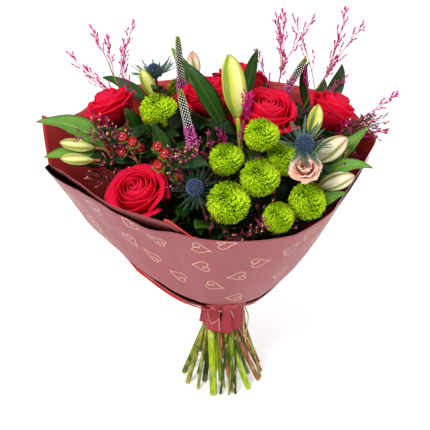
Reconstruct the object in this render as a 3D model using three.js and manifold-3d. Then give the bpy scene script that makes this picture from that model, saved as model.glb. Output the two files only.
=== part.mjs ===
import * as THREE from "three";
import { mergeVertices } from "three/addons/utils/BufferGeometryUtils.js";
import Module from "manifold-3d";

// A hand-tied mixed bouquet in a paper wrap. It stands on its cut, spiralled stem ends.
// Millimetres, +Z up, front towards -Y. The arrangement is laid out round the tie, at x = y = 0.

const wasm = await Module();
wasm.setup();

// Bundle
const TIE_HEIGHT = 104;
const SPIRAL_RATE = 0.029; // sideways travel per mm of height and per mm from the axis
const STEM_GAP = 0.5;
const HEAD_GAP = 0.3; // between a bloom and the stem that carries it
const NECK_LENGTH = 14; // straight end of a stem below its bloom
const LEVEL_STEP = 46; // height between the points of a stem above the tie
const TIE_TURN = (50 * Math.PI) / 180; // a stem enters the tie this far round from its bloom
const PACK_ROUNDS = 1500;
const BEND_ROUNDS = 160;
const BEND_MARGIN = 1.2;
const LEAF_MARGIN = 2.4;

const WELD = 0.3; // slivers finer than this are closed when parts grow together

// Paper
const PAPER_THICKNESS = 0.8;
const BOWL_BOTTOM = TIE_HEIGHT + 4.4; // the sheet opens out from here
const BOWL_POWER = 0.65;
const BOWL_SKEW = 0.06;
const BOWL_SHARES = [0, 0.03, 0.12, 0.3, 0.6, 1]; // rows of the bowl, as shares of its height
const COLLAR_STEPS = [[79, 3.4, 1.3], [91, 1.4, 0.9], [100, 0, 0.2]]; // height, flare, depth of the crinkles
const PLEAT_EVERY = 3; // columns of the sheet from one pleat to the next
const SHEET_COLUMNS = 30;
const SHEET_OFFSET = 2.4; // outer sheet beyond the inner one, centre to centre
const SHEET_GAP = 0.55; // between the binding string and the paper round it

// Cords
const STRING_RADIUS = 0.8;
const STRING_GAP = 0.6; // between the outermost stem and the string
const TWINE_RADIUS = 0.9;
const TWINE_GAP = 0.7; // between the paper and the twine round it
const TIE_AZIMUTH = (-26 * Math.PI) / 180; // where the twine is knotted
const STRAND_1 = [[23.8, -12.6, 101], [23.9, -16.2, 92], [24, -18.6, 81], [24.4, -19.3, 69.5]];
const STRAND_2 = [[25.6, -10.8, 101], [29.2, -13, 92], [29.2, -16.2, 81], [26.6, -19.1, 69.5]];
const LOOSE_KNOT = [25.5, -19.4, 66.6];
const KNOT_ENDS = [[1.2, -1.4, -9], [6.6, -2.4, -13]]; // short ends below the loose knot

// Rims of the two sheets: azimuth in degrees (0 right, 90 back, 180 left, 270 front), radius, height
const INNER_RIM = [
  [0, 168, 318], [8, 158, 324], [43, 154, 330], [92, 134, 334], [142, 160, 334], [160, 176, 322],
  [172, 184, 324], [180, 200, 343], [190, 194, 300], [200, 184, 306], [210, 174, 303], [217, 169, 297],
  [226, 164, 292], [236, 155, 288], [247, 146, 281], [256, 139, 262], [272, 136, 258], [300, 138, 256],
  [320, 143, 270], [332, 150, 291], [345, 162, 318], [352, 166, 321], [360, 168, 318],
];
const OUTER_RIM = [
  [184, 203, 297], [190, 202, 299], [200, 192, 302], [210, 182, 298], [217, 176, 294], [226, 170, 285],
  [236, 160, 279], [247, 150, 273], [260, 143, 268], [272, 140, 265], [300, 142, 263], [312, 144, 270],
  [320, 147, 275], [332, 152, 288], [350, 166, 308],
];
// Lower edge of the outer sheet: azimuth, height, distance that it stands off the inner sheet
const OUTER_HEM = [
  [184, 215, 4], [205, 184, 6], [224, 170, 6], [236, 148, 5], [248, 140, 4], [270, 137, 1.5],
  [290, 139, 1.5], [304, 143, 4], [318, 158, 5], [335, 190, 5], [350, 220, 3],
];

// Flowers: head centre, the way the head faces, size (radius), and the stem's radius.
// A plant with several heads forks below them.
const ROSES = [
  { head: [-90.6, -81.6, 288], facing: [-0.25, -0.52, 0.82], size: 35, spin: 0.4 },
  { head: [-124, 6, 350], facing: [-0.4, 0.05, 0.9], size: 32, spin: 1.9 },
  { head: [-18, 12, 361], facing: [-0.12, 0, 0.99], size: 33, spin: 3.1 },
  { head: [46, -13, 348], facing: [0.12, -0.35, 0.93], size: 37, spin: 0.9 },
  { head: [121, 12, 343], facing: [0.5, 0.1, 0.86], size: 32, spin: 2.4 },
  { head: [18, 88, 348], facing: [0.05, 0.5, 0.86], size: 34, spin: 1.2 },
];
const POMPOM_SPRAYS = [
  {
    fork: [6, -62, 246],
    heads: [
      { head: [4, -118, 296], facing: [-0.1, -0.8, 0.6], size: 22 },
      { head: [2, -84, 329], facing: [-0.1, -0.6, 0.8], size: 18 },
      { head: [36, -106, 319], facing: [0.05, -0.75, 0.66], size: 20 },
    ],
  },
  {
    fork: [46, -50, 252],
    heads: [
      { head: [62, -77, 326], facing: [0.2, -0.6, 0.77], size: 19 },
      { head: [86, -102, 290], facing: [0.3, -0.8, 0.52], size: 20 },
      { head: [55, -122, 281], facing: [0.1, -0.86, 0.5], size: 16 },
      { head: [38, -82, 356], facing: [0, -0.6, 0.8], size: 18 },
    ],
  },
  {
    fork: [-40, 10, 280],
    heads: [
      { head: [-70, -32, 364], facing: [-0.2, -0.3, 0.93], size: 20 },
      { head: [-45, 74, 350], facing: [-0.3, 0.5, 0.8], size: 20 },
    ],
  },
];
const LILIES = [
  {
    fork: [20, -26, 300],
    heads: [
      { head: [9, -35, 391], facing: [-0.13, 0.14, 0.98], size: 13, length: 66 },
      { head: [95, -44, 355], facing: [0.2, 0.05, 0.98], size: 8, length: 36 },
    ],
  },
  { heads: [{ head: [-84, 20, 372], facing: [-0.4, 0, 0.92], size: 7.5, length: 36 }] },
];
const ALSTROEMERIAS = [
  {
    fork: [-118, -42, 306],
    heads: [
      { head: [-158, -50, 330], facing: [-0.97, -0.1, 0.22], size: 6.5, length: 36 },
      { head: [-158, -58, 317], facing: [-0.98, -0.15, 0.14], size: 6, length: 34 },
    ],
  },
  {
    fork: [84, -52, 286],
    heads: [
      { head: [112, -60, 330], facing: [0.8, -0.02, 0.6], size: 11, length: 44 },
      { head: [119, -76, 300], facing: [0.9, -0.15, 0.4], size: 9, length: 40 },
    ],
    bloom: { head: [82, -104, 327], facing: [-0.1, -0.6, 0.78], size: 13 },
  },
  { heads: [{ head: [-34, 52, 384], facing: [-0.1, 0.1, 0.99], size: 7, length: 30 }] },
];
const VERONICAS = [
  { head: [-49, 42, 382], facing: [-0.06, 0.1, 0.99], size: 4.8, length: 74 },
  { head: [-40, -56, 364], facing: [-0.22, 0.4, 0.88], size: 5, length: 62 },
  { head: [76, 34, 370], facing: [0.5, 0.15, 0.85], size: 4.8, length: 60 },
];
const THISTLES = [
  { head: [81, -97, 353], facing: [0.1, -0.6, 0.8], size: 9.5 },
  { head: [-31, -103, 306], facing: [-0.2, -0.75, 0.65], size: 9 },
  { head: [-78, 40, 380], facing: [-0.2, 0.1, 0.97], size: 9 },
];
const BERRY_SPRAYS = [
  { top: [-66, -86, 328], facing: [-0.1, -0.3, 0.95], seed: 11 },
  { top: [-98, -60, 326], facing: [-0.35, -0.3, 0.89], seed: 23 },
];
const GRASSES = [
  { top: [64, 26, 402], facing: [0.05, 0, 1], seed: 31 },
  { top: [120, 40, 392], facing: [0.3, 0.1, 0.95], seed: 37 },
  { top: [-128, 42, 388], facing: [-0.3, 0.1, 0.95], seed: 41 },
  { top: [20, -60, 362], facing: [0.1, -0.4, 0.9], seed: 43 },
  { top: [150, -10, 344], facing: [0.85, -0.1, 0.5], seed: 47 },
];
const FLORET_SPRAYS = [
  { top: [-34, -88, 330], facing: [-0.2, -0.5, 0.84], seed: 53 },
  { top: [-128, -40, 336], facing: [-0.5, -0.3, 0.8], seed: 59 },
  { top: [136, -20, 336], facing: [0.6, -0.2, 0.77], seed: 61 },
  { top: [34, -112, 262], facing: [0.1, -0.7, 0.7], seed: 67 },
];
const FOLIAGE = [
  { top: [-96, -22, 326], facing: [-0.3, -0.2, 0.93] },
  { top: [104, 44, 334], facing: [0.4, 0.3, 0.87] },
  { top: [90, -84, 256], facing: [0.5, -0.6, 0.62] },
];
const STEM_RADIUS = {
  rose: 3.2, pompom: 2.6, lily: 4.2, alstroemeria: 2.8, veronica: 1.8, thistle: 2.3, hypericum: 2.3,
  grass: 1.4, floret: 1.7, foliage: 2.4,
};
const FUSED_HEADS = ["alstroemeria", "veronica", "thistle"]; // kinds whose heads are one body with the stem

// Height of a head's centre above its base, as a share of its size or length
const HEAD_CENTRE = { rose: 0.75, pompom: 0.46, bud: 0.5, spike: 0.5, thistle: 0.9, peach: 0.7 };
const FLARES = { rose: 5.6, pompom: 5.5, lily: 4.4, bud: 2.2, peach: 2.6 }; // stem's end below a bloom
const BERRY_RADIUS = 5.6;

// Layers of petals: their number, width and height of the cup they form, rolled lip, and turn round the axis
const ROSE_LAYERS = [
  { count: 3, belly: 0.3, top: 1, lip: 0, widest: 1.25, turn: 0.3, rows: 2, columns: 2 },
  { count: 3, belly: 0.56, top: 0.97, lip: 0.1, widest: 1.25, turn: 1.1, rows: 2, columns: 2 },
  { count: 4, belly: 0.8, top: 0.86, lip: 0.45, widest: 1.25, turn: 0.5, rows: 3, columns: 3 },
];
const PEACH_OUTER = { belly: 0.85, top: 1, lip: 0.5, widest: 1.4, turn: 0.2, rows: 3, columns: 2 };
const PEACH_INNER = { belly: 0.62, top: 1.1, lip: 0.2, widest: 1.4, turn: 0.2, rows: 2, columns: 2 };

// Sprays of twigs: how far down the stem they grow, how wide they spread, and their buds
const SPRAYS = {
  grass: { twigs: 5, depth: 70, spread: 0.6, length: 44, twig: 0.7, bud: 1.2, buds: 2 },
  floret: { twigs: 6, depth: 60, spread: 1, length: 34, twig: 0.8, bud: 1.7, buds: 2 },
};

// Leaves: plant, height on its stem, control point of the midrib, tip, width, share that is stalk
const LEAVES = [
  {
    plant: "alstroemeria_1",
    from: 288, bend: [-134, -20, 352], tip: [-197, -20, 354], width: 27, stalk: 0.3,
  },
  {
    plant: "alstroemeria_1",
    from: 276, bend: [-146, -46, 326], tip: [-196, -60, 306], width: 22, stalk: 0.3,
  },
  { plant: "lily_1", from: 290, bend: [4, -62, 392], tip: [-49, -45, 406], width: 21, stalk: 0.2 },
  { plant: "lily_1", from: 270, bend: [22, 22, 370], tip: [36, 14, 414], width: 14, stalk: 0.4 },
  { plant: "alstroemeria_2", from: 268, bend: [126, -44, 318], tip: [154, -38, 346], width: 17, stalk: 0.25 },
  { plant: "alstroemeria_2", from: 256, bend: [118, -78, 334], tip: [158, -62, 308], width: 18, stalk: 0.3 },
  { plant: "foliage_2", from: 318, bend: [100, 40, 374], tip: [128, 34, 384], width: 9, stalk: 0.1 },
  { plant: "foliage_2", from: 300, bend: [134, 58, 344], tip: [134, 66, 378], width: 20, stalk: 0.1 },
  { plant: "foliage_2", from: 270, bend: [120, 70, 320], tip: [126, 88, 350], width: 22, stalk: 0.15 },
  { plant: "foliage_3", from: 230, bend: [108, -80, 272], tip: [128, -78, 280], width: 24, stalk: 0.15 },
  { plant: "foliage_3", from: 214, bend: [46, -100, 244], tip: [34, -124, 256], width: 22, stalk: 0.25 },
  { plant: "foliage_3", from: 196, bend: [8, -106, 262], tip: [8, -124, 266], width: 22, stalk: 0.3 },
  { plant: "hypericum_1", from: 290, bend: [-58, -62, 336], tip: [-66, -64, 364], width: 20, stalk: 0.1 },
  { plant: "foliage_1", from: 306, bend: [-96, -36, 352], tip: [-106, -32, 364], width: 20, stalk: 0.1 },
  { plant: "foliage_1", from: 280, bend: [-128, -62, 318], tip: [-140, -80, 306], width: 20, stalk: 0.15 },
  { plant: "foliage_1", from: 296, bend: [-118, -50, 330], tip: [-120, -64, 344], width: 16, stalk: 0.15 },
  { plant: "rose_1", from: 220, bend: [-60, -80, 262], tip: [-52, -116, 272], width: 22, stalk: 0.3 },
  { plant: "rose_2", from: 270, bend: [-140, 40, 306], tip: [-152, 66, 330], width: 24, stalk: 0.25 },
  { plant: "rose_3", from: 290, bend: [-30, -40, 330], tip: [-50, -70, 334], width: 22, stalk: 0.25 },
  { plant: "rose_5", from: 270, bend: [140, 20, 300], tip: [152, 38, 326], width: 22, stalk: 0.25 },
  { plant: "rose_6", from: 280, bend: [30, 110, 310], tip: [52, 122, 340], width: 24, stalk: 0.25 },
  { plant: "rose_6", from: 268, bend: [-10, 112, 306], tip: [-26, 124, 340], width: 24, stalk: 0.25 },
  { plant: "pompom_1", from: 214, bend: [-20, -90, 262], tip: [-30, -122, 268], width: 24, stalk: 0.2 },
  { plant: "pompom_3", from: 262, bend: [-80, 80, 312], tip: [-96, 104, 338], width: 26, stalk: 0.2 },
  { plant: "alstroemeria_3", from: 330, bend: [-60, 60, 366], tip: [-84, 78, 372], width: 15, stalk: 0.1 },
  { plant: "lily_2", from: 330, bend: [-110, 60, 362], tip: [-140, 76, 358], width: 16, stalk: 0.15 },
  { plant: "lily_2", from: 352, bend: [-92, -14, 384], tip: [-118, -38, 382], width: 14, stalk: 0.15 },
];

const COLOURS = {
  rose: "#c8102a", pompom: "#9ccb16", lily: "#cdd25a", alstroemeria: "#e3d9a0", peach: "#efb49a",
  veronica: "#9a5a8c", thistle: "#46587c", hypericum: "#a01822", grass: "#a02c6c", floret: "#b0607c",
  leaf: "#3f7d27", stem: "#6f9a34", wrap: "#b5777a", collar: "#b1434d", twine: "#c7a27c", string: "#d8cba8",
};

const vector = (list) => new THREE.Vector3(...list);
const unit = (list) => vector(list).normalize();

// Repeatable random numbers from 0 to 1.
function randomFrom(seed) {
  let state = seed;
  return () => {
    state = (state * 16807) % 2147483647;
    return state / 2147483647;
  };
}

// Turning geometry into solids and back

function signedVolume(positions, triangles) {
  const a = new THREE.Vector3();
  const b = new THREE.Vector3();
  const c = new THREE.Vector3();
  let sum = 0;
  for (let i = 0; i < triangles.length; i += 3) {
    a.fromArray(positions, triangles[i] * 3);
    b.fromArray(positions, triangles[i + 1] * 3);
    c.fromArray(positions, triangles[i + 2] * 3);
    sum += a.dot(b.cross(c));
  }
  return sum / 6;
}

function solidOf(geometry) {
  const bare = geometry.clone();
  bare.deleteAttribute("normal");
  bare.deleteAttribute("uv");
  const merged = mergeVertices(bare, 1e-4);
  const positions = new Float32Array(merged.attributes.position.array);
  const triangles = new Uint32Array(merged.index.array);
  if (signedVolume(positions, triangles) < 0) {
    for (let i = 0; i < triangles.length; i += 3) {
      [triangles[i], triangles[i + 1]] = [triangles[i + 1], triangles[i]];
    }
  }
  return new wasm.Manifold(new wasm.Mesh({ numProp: 3, vertProperties: positions, triVerts: triangles }));
}

function geometryOf(solid) {
  const mesh = solid.getMesh();
  const geometry = new THREE.BufferGeometry();
  geometry.setAttribute("position", new THREE.BufferAttribute(new Float32Array(mesh.vertProperties), 3));
  geometry.setIndex(new THREE.BufferAttribute(new Uint32Array(mesh.triVerts), 1));
  geometry.computeVertexNormals();
  return geometry;
}

function fuse(geometries) {
  let joined = solidOf(geometries[0]);
  for (const geometry of geometries.slice(1)) {
    joined = joined.add(solidOf(geometry));
  }
  return geometryOf(joined.simplify(WELD));
}

function geometryFrom(points, triangles) {
  const geometry = new THREE.BufferGeometry();
  geometry.setAttribute("position", new THREE.Float32BufferAttribute(points.flatMap((p) => p.toArray()), 3));
  geometry.setIndex(triangles);
  return geometry;
}

// Basic shapes

// A tube along points, with a radius at each. Its first end can be cut level, as a stem on a table.
function tube(points, radii, sides, levelStart = false) {
  const vertices = [];
  let side = null;
  points.forEach((point, i) => {
    const before = points[Math.max(i - 1, 0)];
    const after = points[Math.min(i + 1, points.length - 1)];
    const along = after.clone().sub(before).normalize();
    if (!side) {
      side = Math.abs(along.z) > 0.9 ? new THREE.Vector3(1, 0, 0) : new THREE.Vector3(0, 0, 1);
    }
    side = side.clone().addScaledVector(along, -side.dot(along)).normalize();
    const other = along.clone().cross(side);
    for (let k = 0; k < sides; k += 1) {
      const turn = (2 * Math.PI * k) / sides;
      const vertex = point.clone();
      vertex.addScaledVector(side, radii[i] * Math.cos(turn));
      vertex.addScaledVector(other, radii[i] * Math.sin(turn));
      if (levelStart && i === 0) {
        vertex.addScaledVector(along, (point.z - vertex.z) / along.z);
      }
      vertices.push(vertex);
    }
  });
  const triangles = [];
  for (let i = 0; i + 1 < points.length; i += 1) {
    for (let k = 0; k < sides; k += 1) {
      const a = i * sides + k;
      const b = i * sides + ((k + 1) % sides);
      triangles.push(a, b, a + sides, b, b + sides, a + sides);
    }
  }
  const last = (points.length - 1) * sides;
  for (let k = 1; k + 1 < sides; k += 1) {
    triangles.push(0, k + 1, k, last, last + k, last + k + 1);
  }
  return geometryFrom(vertices, triangles);
}

// A blade from a grid of points: both faces bulge by half the thickness and meet in a sharp edge.
function blade(grid, thickness) {
  const rows = grid.length;
  const columns = grid[0].length;
  const vertices = [];
  const front = [];
  const back = [];
  for (let i = 0; i < rows; i += 1) {
    for (let j = 0; j < columns; j += 1) {
      const point = grid[i][j];
      if (i === 0 || j === 0 || i === rows - 1 || j === columns - 1) {
        front.push(vertices.length);
        back.push(vertices.length);
        vertices.push(point);
      } else {
        const along = grid[i + 1][j].clone().sub(grid[i - 1][j]);
        const normal = grid[i][j + 1].clone().sub(grid[i][j - 1]).cross(along).normalize();
        front.push(vertices.length);
        vertices.push(point.clone().addScaledVector(normal, thickness / 2));
        back.push(vertices.length);
        vertices.push(point.clone().addScaledVector(normal, -thickness / 2));
      }
    }
  }
  const triangles = [];
  for (let i = 0; i + 1 < rows; i += 1) {
    for (let j = 0; j + 1 < columns; j += 1) {
      const a = i * columns + j;
      const corners = [a, a + 1, a + columns + 1, a + columns];
      const order = j < (columns - 1) / 2 ? [0, 1, 2, 0, 2, 3] : [0, 1, 3, 1, 2, 3];
      const face = order.map((k) => corners[k]);
      triangles.push(...face.map((k) => front[k]));
      for (let k = 0; k < 6; k += 3) {
        triangles.push(back[face[k]], back[face[k + 2]], back[face[k + 1]]);
      }
    }
  }
  return geometryFrom(vertices, triangles);
}

// A body of revolution whose surface is pushed in and out by a formula.
function reliefLathe(profile, segments, push) {
  const geometry = new THREE.LatheGeometry(profile.map(([r, z]) => new THREE.Vector2(r, z)), segments);
  const position = geometry.attributes.position;
  for (let i = 0; i < position.count; i += 1) {
    const segment = Math.floor(i / profile.length);
    const row = i % profile.length;
    const x = position.getX(i);
    const y = position.getY(i);
    const z = position.getZ(i);
    const scale = 1 + push(segment % segments, row, Math.atan2(z, x));
    position.setXYZ(i, x * scale, -z * scale, y);
  }
  return geometry;
}

// A leaf's grid: three points across each row, folded along the midrib, with waved edges.
function leafGrid(path, width, stalk, rows = 4, facing = new THREE.Vector3(0, -0.45, 1)) {
  const grid = [];
  for (let i = 0; i <= rows; i += 1) {
    const share = i / rows;
    const centre = path.getPoint(share);
    const along = path.getTangent(share);
    const side = along.clone().cross(facing).normalize();
    const up = side.clone().cross(along).normalize();
    const belly = Math.max(0, (share - stalk) / (1 - stalk));
    const half = 0.8 + (width / 2) * Math.sin(Math.PI * belly ** 0.85) ** 0.85;
    const ripple = 0.16 * half * Math.sin(share * 11 + width);
    grid.push([-1, 0, 1].map((across) => {
      const point = centre.clone().addScaledVector(side, across * half);
      return point.addScaledVector(up, 0.22 * half * Math.abs(across) + ripple * across);
    }));
  }
  return grid;
}

function gridSamples(grid) {
  const samples = [];
  for (let i = 0; i + 1 < grid.length; i += 1) {
    for (let j = 0; j + 1 < grid[0].length; j += 1) {
      for (let u = 0; u < 6; u += 1) {
        for (let v = 0; v < 4; v += 1) {
          const near = grid[i][j].clone().lerp(grid[i][j + 1], v / 3);
          const far = grid[i + 1][j].clone().lerp(grid[i + 1][j + 1], v / 3);
          samples.push(near.lerp(far, u / 6));
        }
      }
    }
  }
  return samples;
}

// Stems: packing at the tie, and paths from there to the blooms

// Place of a stem at a drop below the tie, on its straight, spiralled stretch.
function spiral(place, drop) {
  const travel = SPIRAL_RATE * drop;
  return new THREE.Vector3(place.x - travel * place.y, place.y + travel * place.x, TIE_HEIGHT - drop);
}

// Stems pressed together at the tie, until each lies against its neighbours.
function packAtTie(stems) {
  const places = stems.map((stem) => {
    const turn = Math.atan2(stem.goal.y, stem.goal.x) + TIE_TURN;
    const reach = (0.12 * Math.hypot(stem.goal.x, stem.goal.y) * 3) / stem.radius;
    return new THREE.Vector2(reach * Math.cos(turn), reach * Math.sin(turn));
  });
  for (let round = 0; round < PACK_ROUNDS; round += 1) {
    const pull = Math.max(0.005, 0.05 * (1 - (1.1 * round) / PACK_ROUNDS));
    const moves = places.map((place) => place.clone().multiplyScalar(-pull * (place.length() / 20) ** 2));
    for (let i = 0; i < places.length; i += 1) {
      for (let j = i + 1; j < places.length; j += 1) {
        const between = places[j].clone().sub(places[i]);
        const middle = places[j].clone().add(places[i]).multiplyScalar(0.5);
        const lean = SPIRAL_RATE * (middle.x * between.y - middle.y * between.x);
        const slope = 1 + (SPIRAL_RATE * middle.length()) ** 2;
        const apart = between.length();
        const clear = Math.sqrt(Math.max(apart ** 2 - lean ** 2 / slope, 1e-6));
        const short = stems[i].radius + stems[j].radius + STEM_GAP - clear;
        if (short > 0) {
          between.multiplyScalar((0.45 * short) / Math.max(clear, 1e-3));
          moves[i].sub(between);
          moves[j].add(between);
        }
      }
    }
    places.forEach((place, i) => place.add(moves[i]));
  }
  return places;
}

// First path of a stem: straight through the tie, then a curve into the line of its bloom.
function firstPath(place, end, facing) {
  const start = spiral(place, 0);
  const neck = end.clone().addScaledVector(facing, -NECK_LENGTH);
  const length = neck.distanceTo(start);
  const rise = start.clone().sub(spiral(place, 1)).normalize();
  const curve = new THREE.CubicBezierCurve3(
    start,
    start.clone().addScaledVector(rise, 0.4 * length),
    neck.clone().addScaledVector(facing, -0.35 * length),
    neck,
  );
  const steps = Math.max(2, Math.round(length / LEVEL_STEP));
  const points = [spiral(place, TIE_HEIGHT), start];
  for (let i = 1; i <= steps; i += 1) {
    points.push(curve.getPoint(i / steps));
  }
  points.push(end.clone());
  return points;
}

function branchPath(start, end, facing) {
  const neck = end.clone().addScaledVector(facing, -NECK_LENGTH);
  const middle = start.clone().lerp(neck, 0.5).addScaledVector(facing, -0.12 * start.distanceTo(neck));
  return [start.clone(), middle, neck, end.clone()];
}

// Nearest points of two straight pieces, as shares along each.
function nearestShares(a, b, c, d) {
  const u = b.clone().sub(a);
  const v = d.clone().sub(c);
  const w = a.clone().sub(c);
  const uu = u.dot(u) + 1e-9;
  const vv = v.dot(v) + 1e-9;
  const uv = u.dot(v);
  const uw = u.dot(w);
  const vw = v.dot(w);
  const clamp = (value) => Math.min(1, Math.max(0, value));
  let s = clamp((uv * vw - vv * uw) / (uu * vv - uv * uv + 1e-9));
  const t = clamp((uv * s + vw) / vv);
  s = clamp((uv * t - uw) / uu);
  return [s, t];
}

// Paths are bent until every stem, branch and bloom is clear of the others.
function bendClear(paths, heads) {
  const rods = [];
  paths.forEach((path) => {
    for (let i = path.firstRod; i + 1 < path.points.length; i += 1) {
      const { points, radius, owner } = path;
      rods.push({ path, i, a: points[i], b: points[i + 1], radius, owner });
    }
  });
  heads.forEach((head) => rods.push({ ...head, path: null }));
  for (let round = 0; round < BEND_ROUNDS; round += 1) {
    const moves = new Map();
    const push = (rod, share, shift) => {
      if (!rod.path) return;
      [[rod.i, 1 - share], [rod.i + 1, share]].forEach(([i, weight]) => {
        const movable = i >= rod.path.firstFree && i < rod.path.points.length - 2;
        if (movable) {
          const key = rod.path.points[i];
          const move = moves.get(key) ?? new THREE.Vector3();
          moves.set(key, move.addScaledVector(shift, weight));
        }
      });
    };
    for (let m = 0; m < rods.length; m += 1) {
      for (let n = m + 1; n < rods.length; n += 1) {
        const one = rods[m];
        const two = rods[n];
        if (one.owner === two.owner || (!one.path && !two.path)) continue;
        const need = one.radius + two.radius + BEND_MARGIN;
        if (Math.abs(one.a.z - two.a.z) > 90 + need) continue;
        const [s, t] = nearestShares(one.a, one.b, two.a, two.b);
        const between = two.a.clone().lerp(two.b, t).sub(one.a.clone().lerp(one.b, s));
        const apart = between.length();
        if (apart < need) {
          const shift = between.multiplyScalar((0.35 * (need - apart)) / Math.max(apart, 0.01));
          push(two, t, shift);
          push(one, s, shift.clone().negate());
        }
      }
    }
    paths.forEach(({ points, firstFree }) => {
      for (let i = firstFree; i < points.length - 2; i += 1) {
        const middle = points[i - 1].clone().lerp(points[i + 1], 0.5).sub(points[i]);
        const move = moves.get(points[i]) ?? new THREE.Vector3();
        moves.set(points[i], move.addScaledVector(middle, round < 100 ? 0.08 : 0));
      }
    });
    moves.forEach((move, point) => {
      point.add(move.clampLength(0, 4));
      keepInBowl(point);
    });
  }
}

// Paper bowl

function readRim(rim, azimuth) {
  const degrees = ((azimuth * 180) / Math.PI + 720) % 360;
  let k = 0;
  while (k + 2 < rim.length && degrees > rim[k + 1][0]) k += 1;
  const share = (degrees - rim[k][0]) / (rim[k + 1][0] - rim[k][0]);
  const clamped = Math.min(1, Math.max(0, share));
  return [1, 2].map((column) => rim[k][column] + clamped * (rim[k + 1][column] - rim[k][column]));
}

// Radius of the inner sheet at an azimuth and height: it leaves the collar nearly level and steepens,
// more so on the left.
function bowlRadius(azimuth, height) {
  const [rimRadius, rimHeight] = readRim(INNER_RIM, azimuth);
  const share = Math.max(0, (height - BOWL_BOTTOM) / (rimHeight - BOWL_BOTTOM));
  return neckRadius + (rimRadius - neckRadius) * share ** (BOWL_POWER + BOWL_SKEW * Math.cos(azimuth));
}

function bowlClearance(point) {
  const azimuth = Math.atan2(point.y, point.x);
  const rimHeight = readRim(INNER_RIM, azimuth)[1];
  const overRim = point.z - rimHeight - 3;
  const inside = bowlRadius(azimuth, point.z) - Math.hypot(point.x, point.y) - 1;
  return Math.max(overRim, 0.8 * inside);
}

function keepInBowl(point) {
  const reach = Math.hypot(point.x, point.y);
  const limit = bowlRadius(Math.atan2(point.y, point.x), point.z) - 9;
  if (point.z < 290 && reach > limit && limit > 0) {
    point.x *= limit / reach;
    point.y *= limit / reach;
  }
}

// Clearance of new leaves and twigs from everything placed before them
const obstacles = [];

function addObstacle(a, b, radius, owner) {
  obstacles.push({ a, b, radius, owner, along: b.clone().sub(a), length: a.distanceTo(b) });
}

function clearance(samples, owner, radius) {
  const ball = new THREE.Sphere().setFromPoints(samples);
  const near = obstacles.filter((it) => it.owner !== owner
    && it.a.distanceTo(ball.center) < ball.radius + it.length + it.radius + 12);
  let least = Infinity;
  const offset = new THREE.Vector3();
  for (const sample of samples) {
    for (const it of near) {
      offset.subVectors(sample, it.a);
      const share = it.length > 0 ? offset.dot(it.along) / it.length ** 2 : 0;
      offset.addScaledVector(it.along, -Math.min(1, Math.max(0, share)));
      least = Math.min(least, offset.length() - it.radius - radius);
    }
    least = Math.min(least, bowlClearance(sample) - radius);
  }
  return least;
}

// The first of several turns of a leaf or twig that clears everything, or the best of them.
function settle(start, tip, make, owner, radius) {
  const reach = tip.clone().sub(start);
  const turns = [0, 8, -8, 16, -16, 26, -26, 38, -38];
  const lifts = [0, 8, -8, 16, 26, -16];
  let best = null;
  for (const lift of lifts) {
    for (const turn of turns) {
      const side = reach.clone().cross(new THREE.Vector3(0, 0, 1)).normalize();
      const swing = new THREE.Quaternion().setFromAxisAngle(side, (lift * Math.PI) / 180);
      swing.premultiply(
        new THREE.Quaternion().setFromAxisAngle(new THREE.Vector3(0, 0, 1), (turn * Math.PI) / 180),
      );
      const made = make(swing);
      const room = clearance(made.samples, owner, radius);
      if (!best || room > best.room) best = { room, made };
      if (room > 0) return best;
    }
  }
  return best;
}

function pointAtHeight(points, height) {
  for (let i = 0; i + 1 < points.length; i += 1) {
    if (points[i + 1].z >= height && points[i].z < height) {
      return points[i].clone().lerp(points[i + 1], (height - points[i].z) / (points[i + 1].z - points[i].z));
    }
  }
  return points[points.length - 2].clone();
}

function placedLeaf(points, leaf, owner) {
  const start = pointAtHeight(points, leaf.from);
  const bend = vector(leaf.bend).sub(start);
  const tip = vector(leaf.tip).sub(start);
  const make = (swing) => {
    const path = new THREE.QuadraticBezierCurve3(
      start,
      bend.clone().applyQuaternion(swing).add(start),
      tip.clone().applyQuaternion(swing).add(start),
    );
    const grid = leafGrid(path, leaf.width, leaf.stalk);
    return { grid, samples: gridSamples(grid) };
  };
  const best = settle(start, vector(leaf.tip), make, owner, LEAF_MARGIN);
  best.made.samples.forEach((sample) => addObstacle(sample, sample.clone(), 1.2, owner));
  return blade(best.made.grid, 1.3);
}

// Blooms. Each is made with its base at the origin, facing +Z.

function rosePetal(size, layer, index, count) {
  const { belly, top, lip, widest, rows, columns } = layer;
  const height = 1.42 * size;
  const grid = [];
  for (let i = 0; i <= rows; i += 1) {
    const share = i / rows;
    const row = [];
    for (let j = 0; j <= columns; j += 1) {
      const across = (2 * j) / columns - 1;
      const half = (widest * Math.PI * (0.6 + 0.4 * share)) / count;
      const azimuth = (2 * Math.PI * index) / count + layer.turn + across * half;
      const rolled = lip * size * Math.max(0, share - 0.6);
      const reach = size * (0.14 + (belly - 0.14) * Math.sin((Math.PI / 2) * share ** 0.7)) + rolled;
      const spread = reach * (1 + 0.1 * across - 0.05 * across ** 2 * share);
      const z = height * (top * share ** 0.92 - 0.16 * across ** 2 * share - 0.5 * rolled / size);
      row.push(new THREE.Vector3(spread * Math.cos(azimuth), spread * Math.sin(azimuth), z));
    }
    grid.push(row);
  }
  return blade(grid, 1.6);
}

function roseBloom(size) {
  const height = 1.42 * size;
  const profile = [[0, 0], [0.17, 0], [0.46, 0.16], [0.54, 0.38], [0.38, 0.64], [0, 0.84]];
  const heart = reliefLathe(profile.map(([r, z]) => [r * size, z * height]), 7, () => 0);
  const petals = ROSE_LAYERS.flatMap((layer) => Array.from(
    { length: layer.count },
    (_, index) => rosePetal(size, layer, index, layer.count),
  ));
  return fuse([heart, ...petals]);
}

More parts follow.
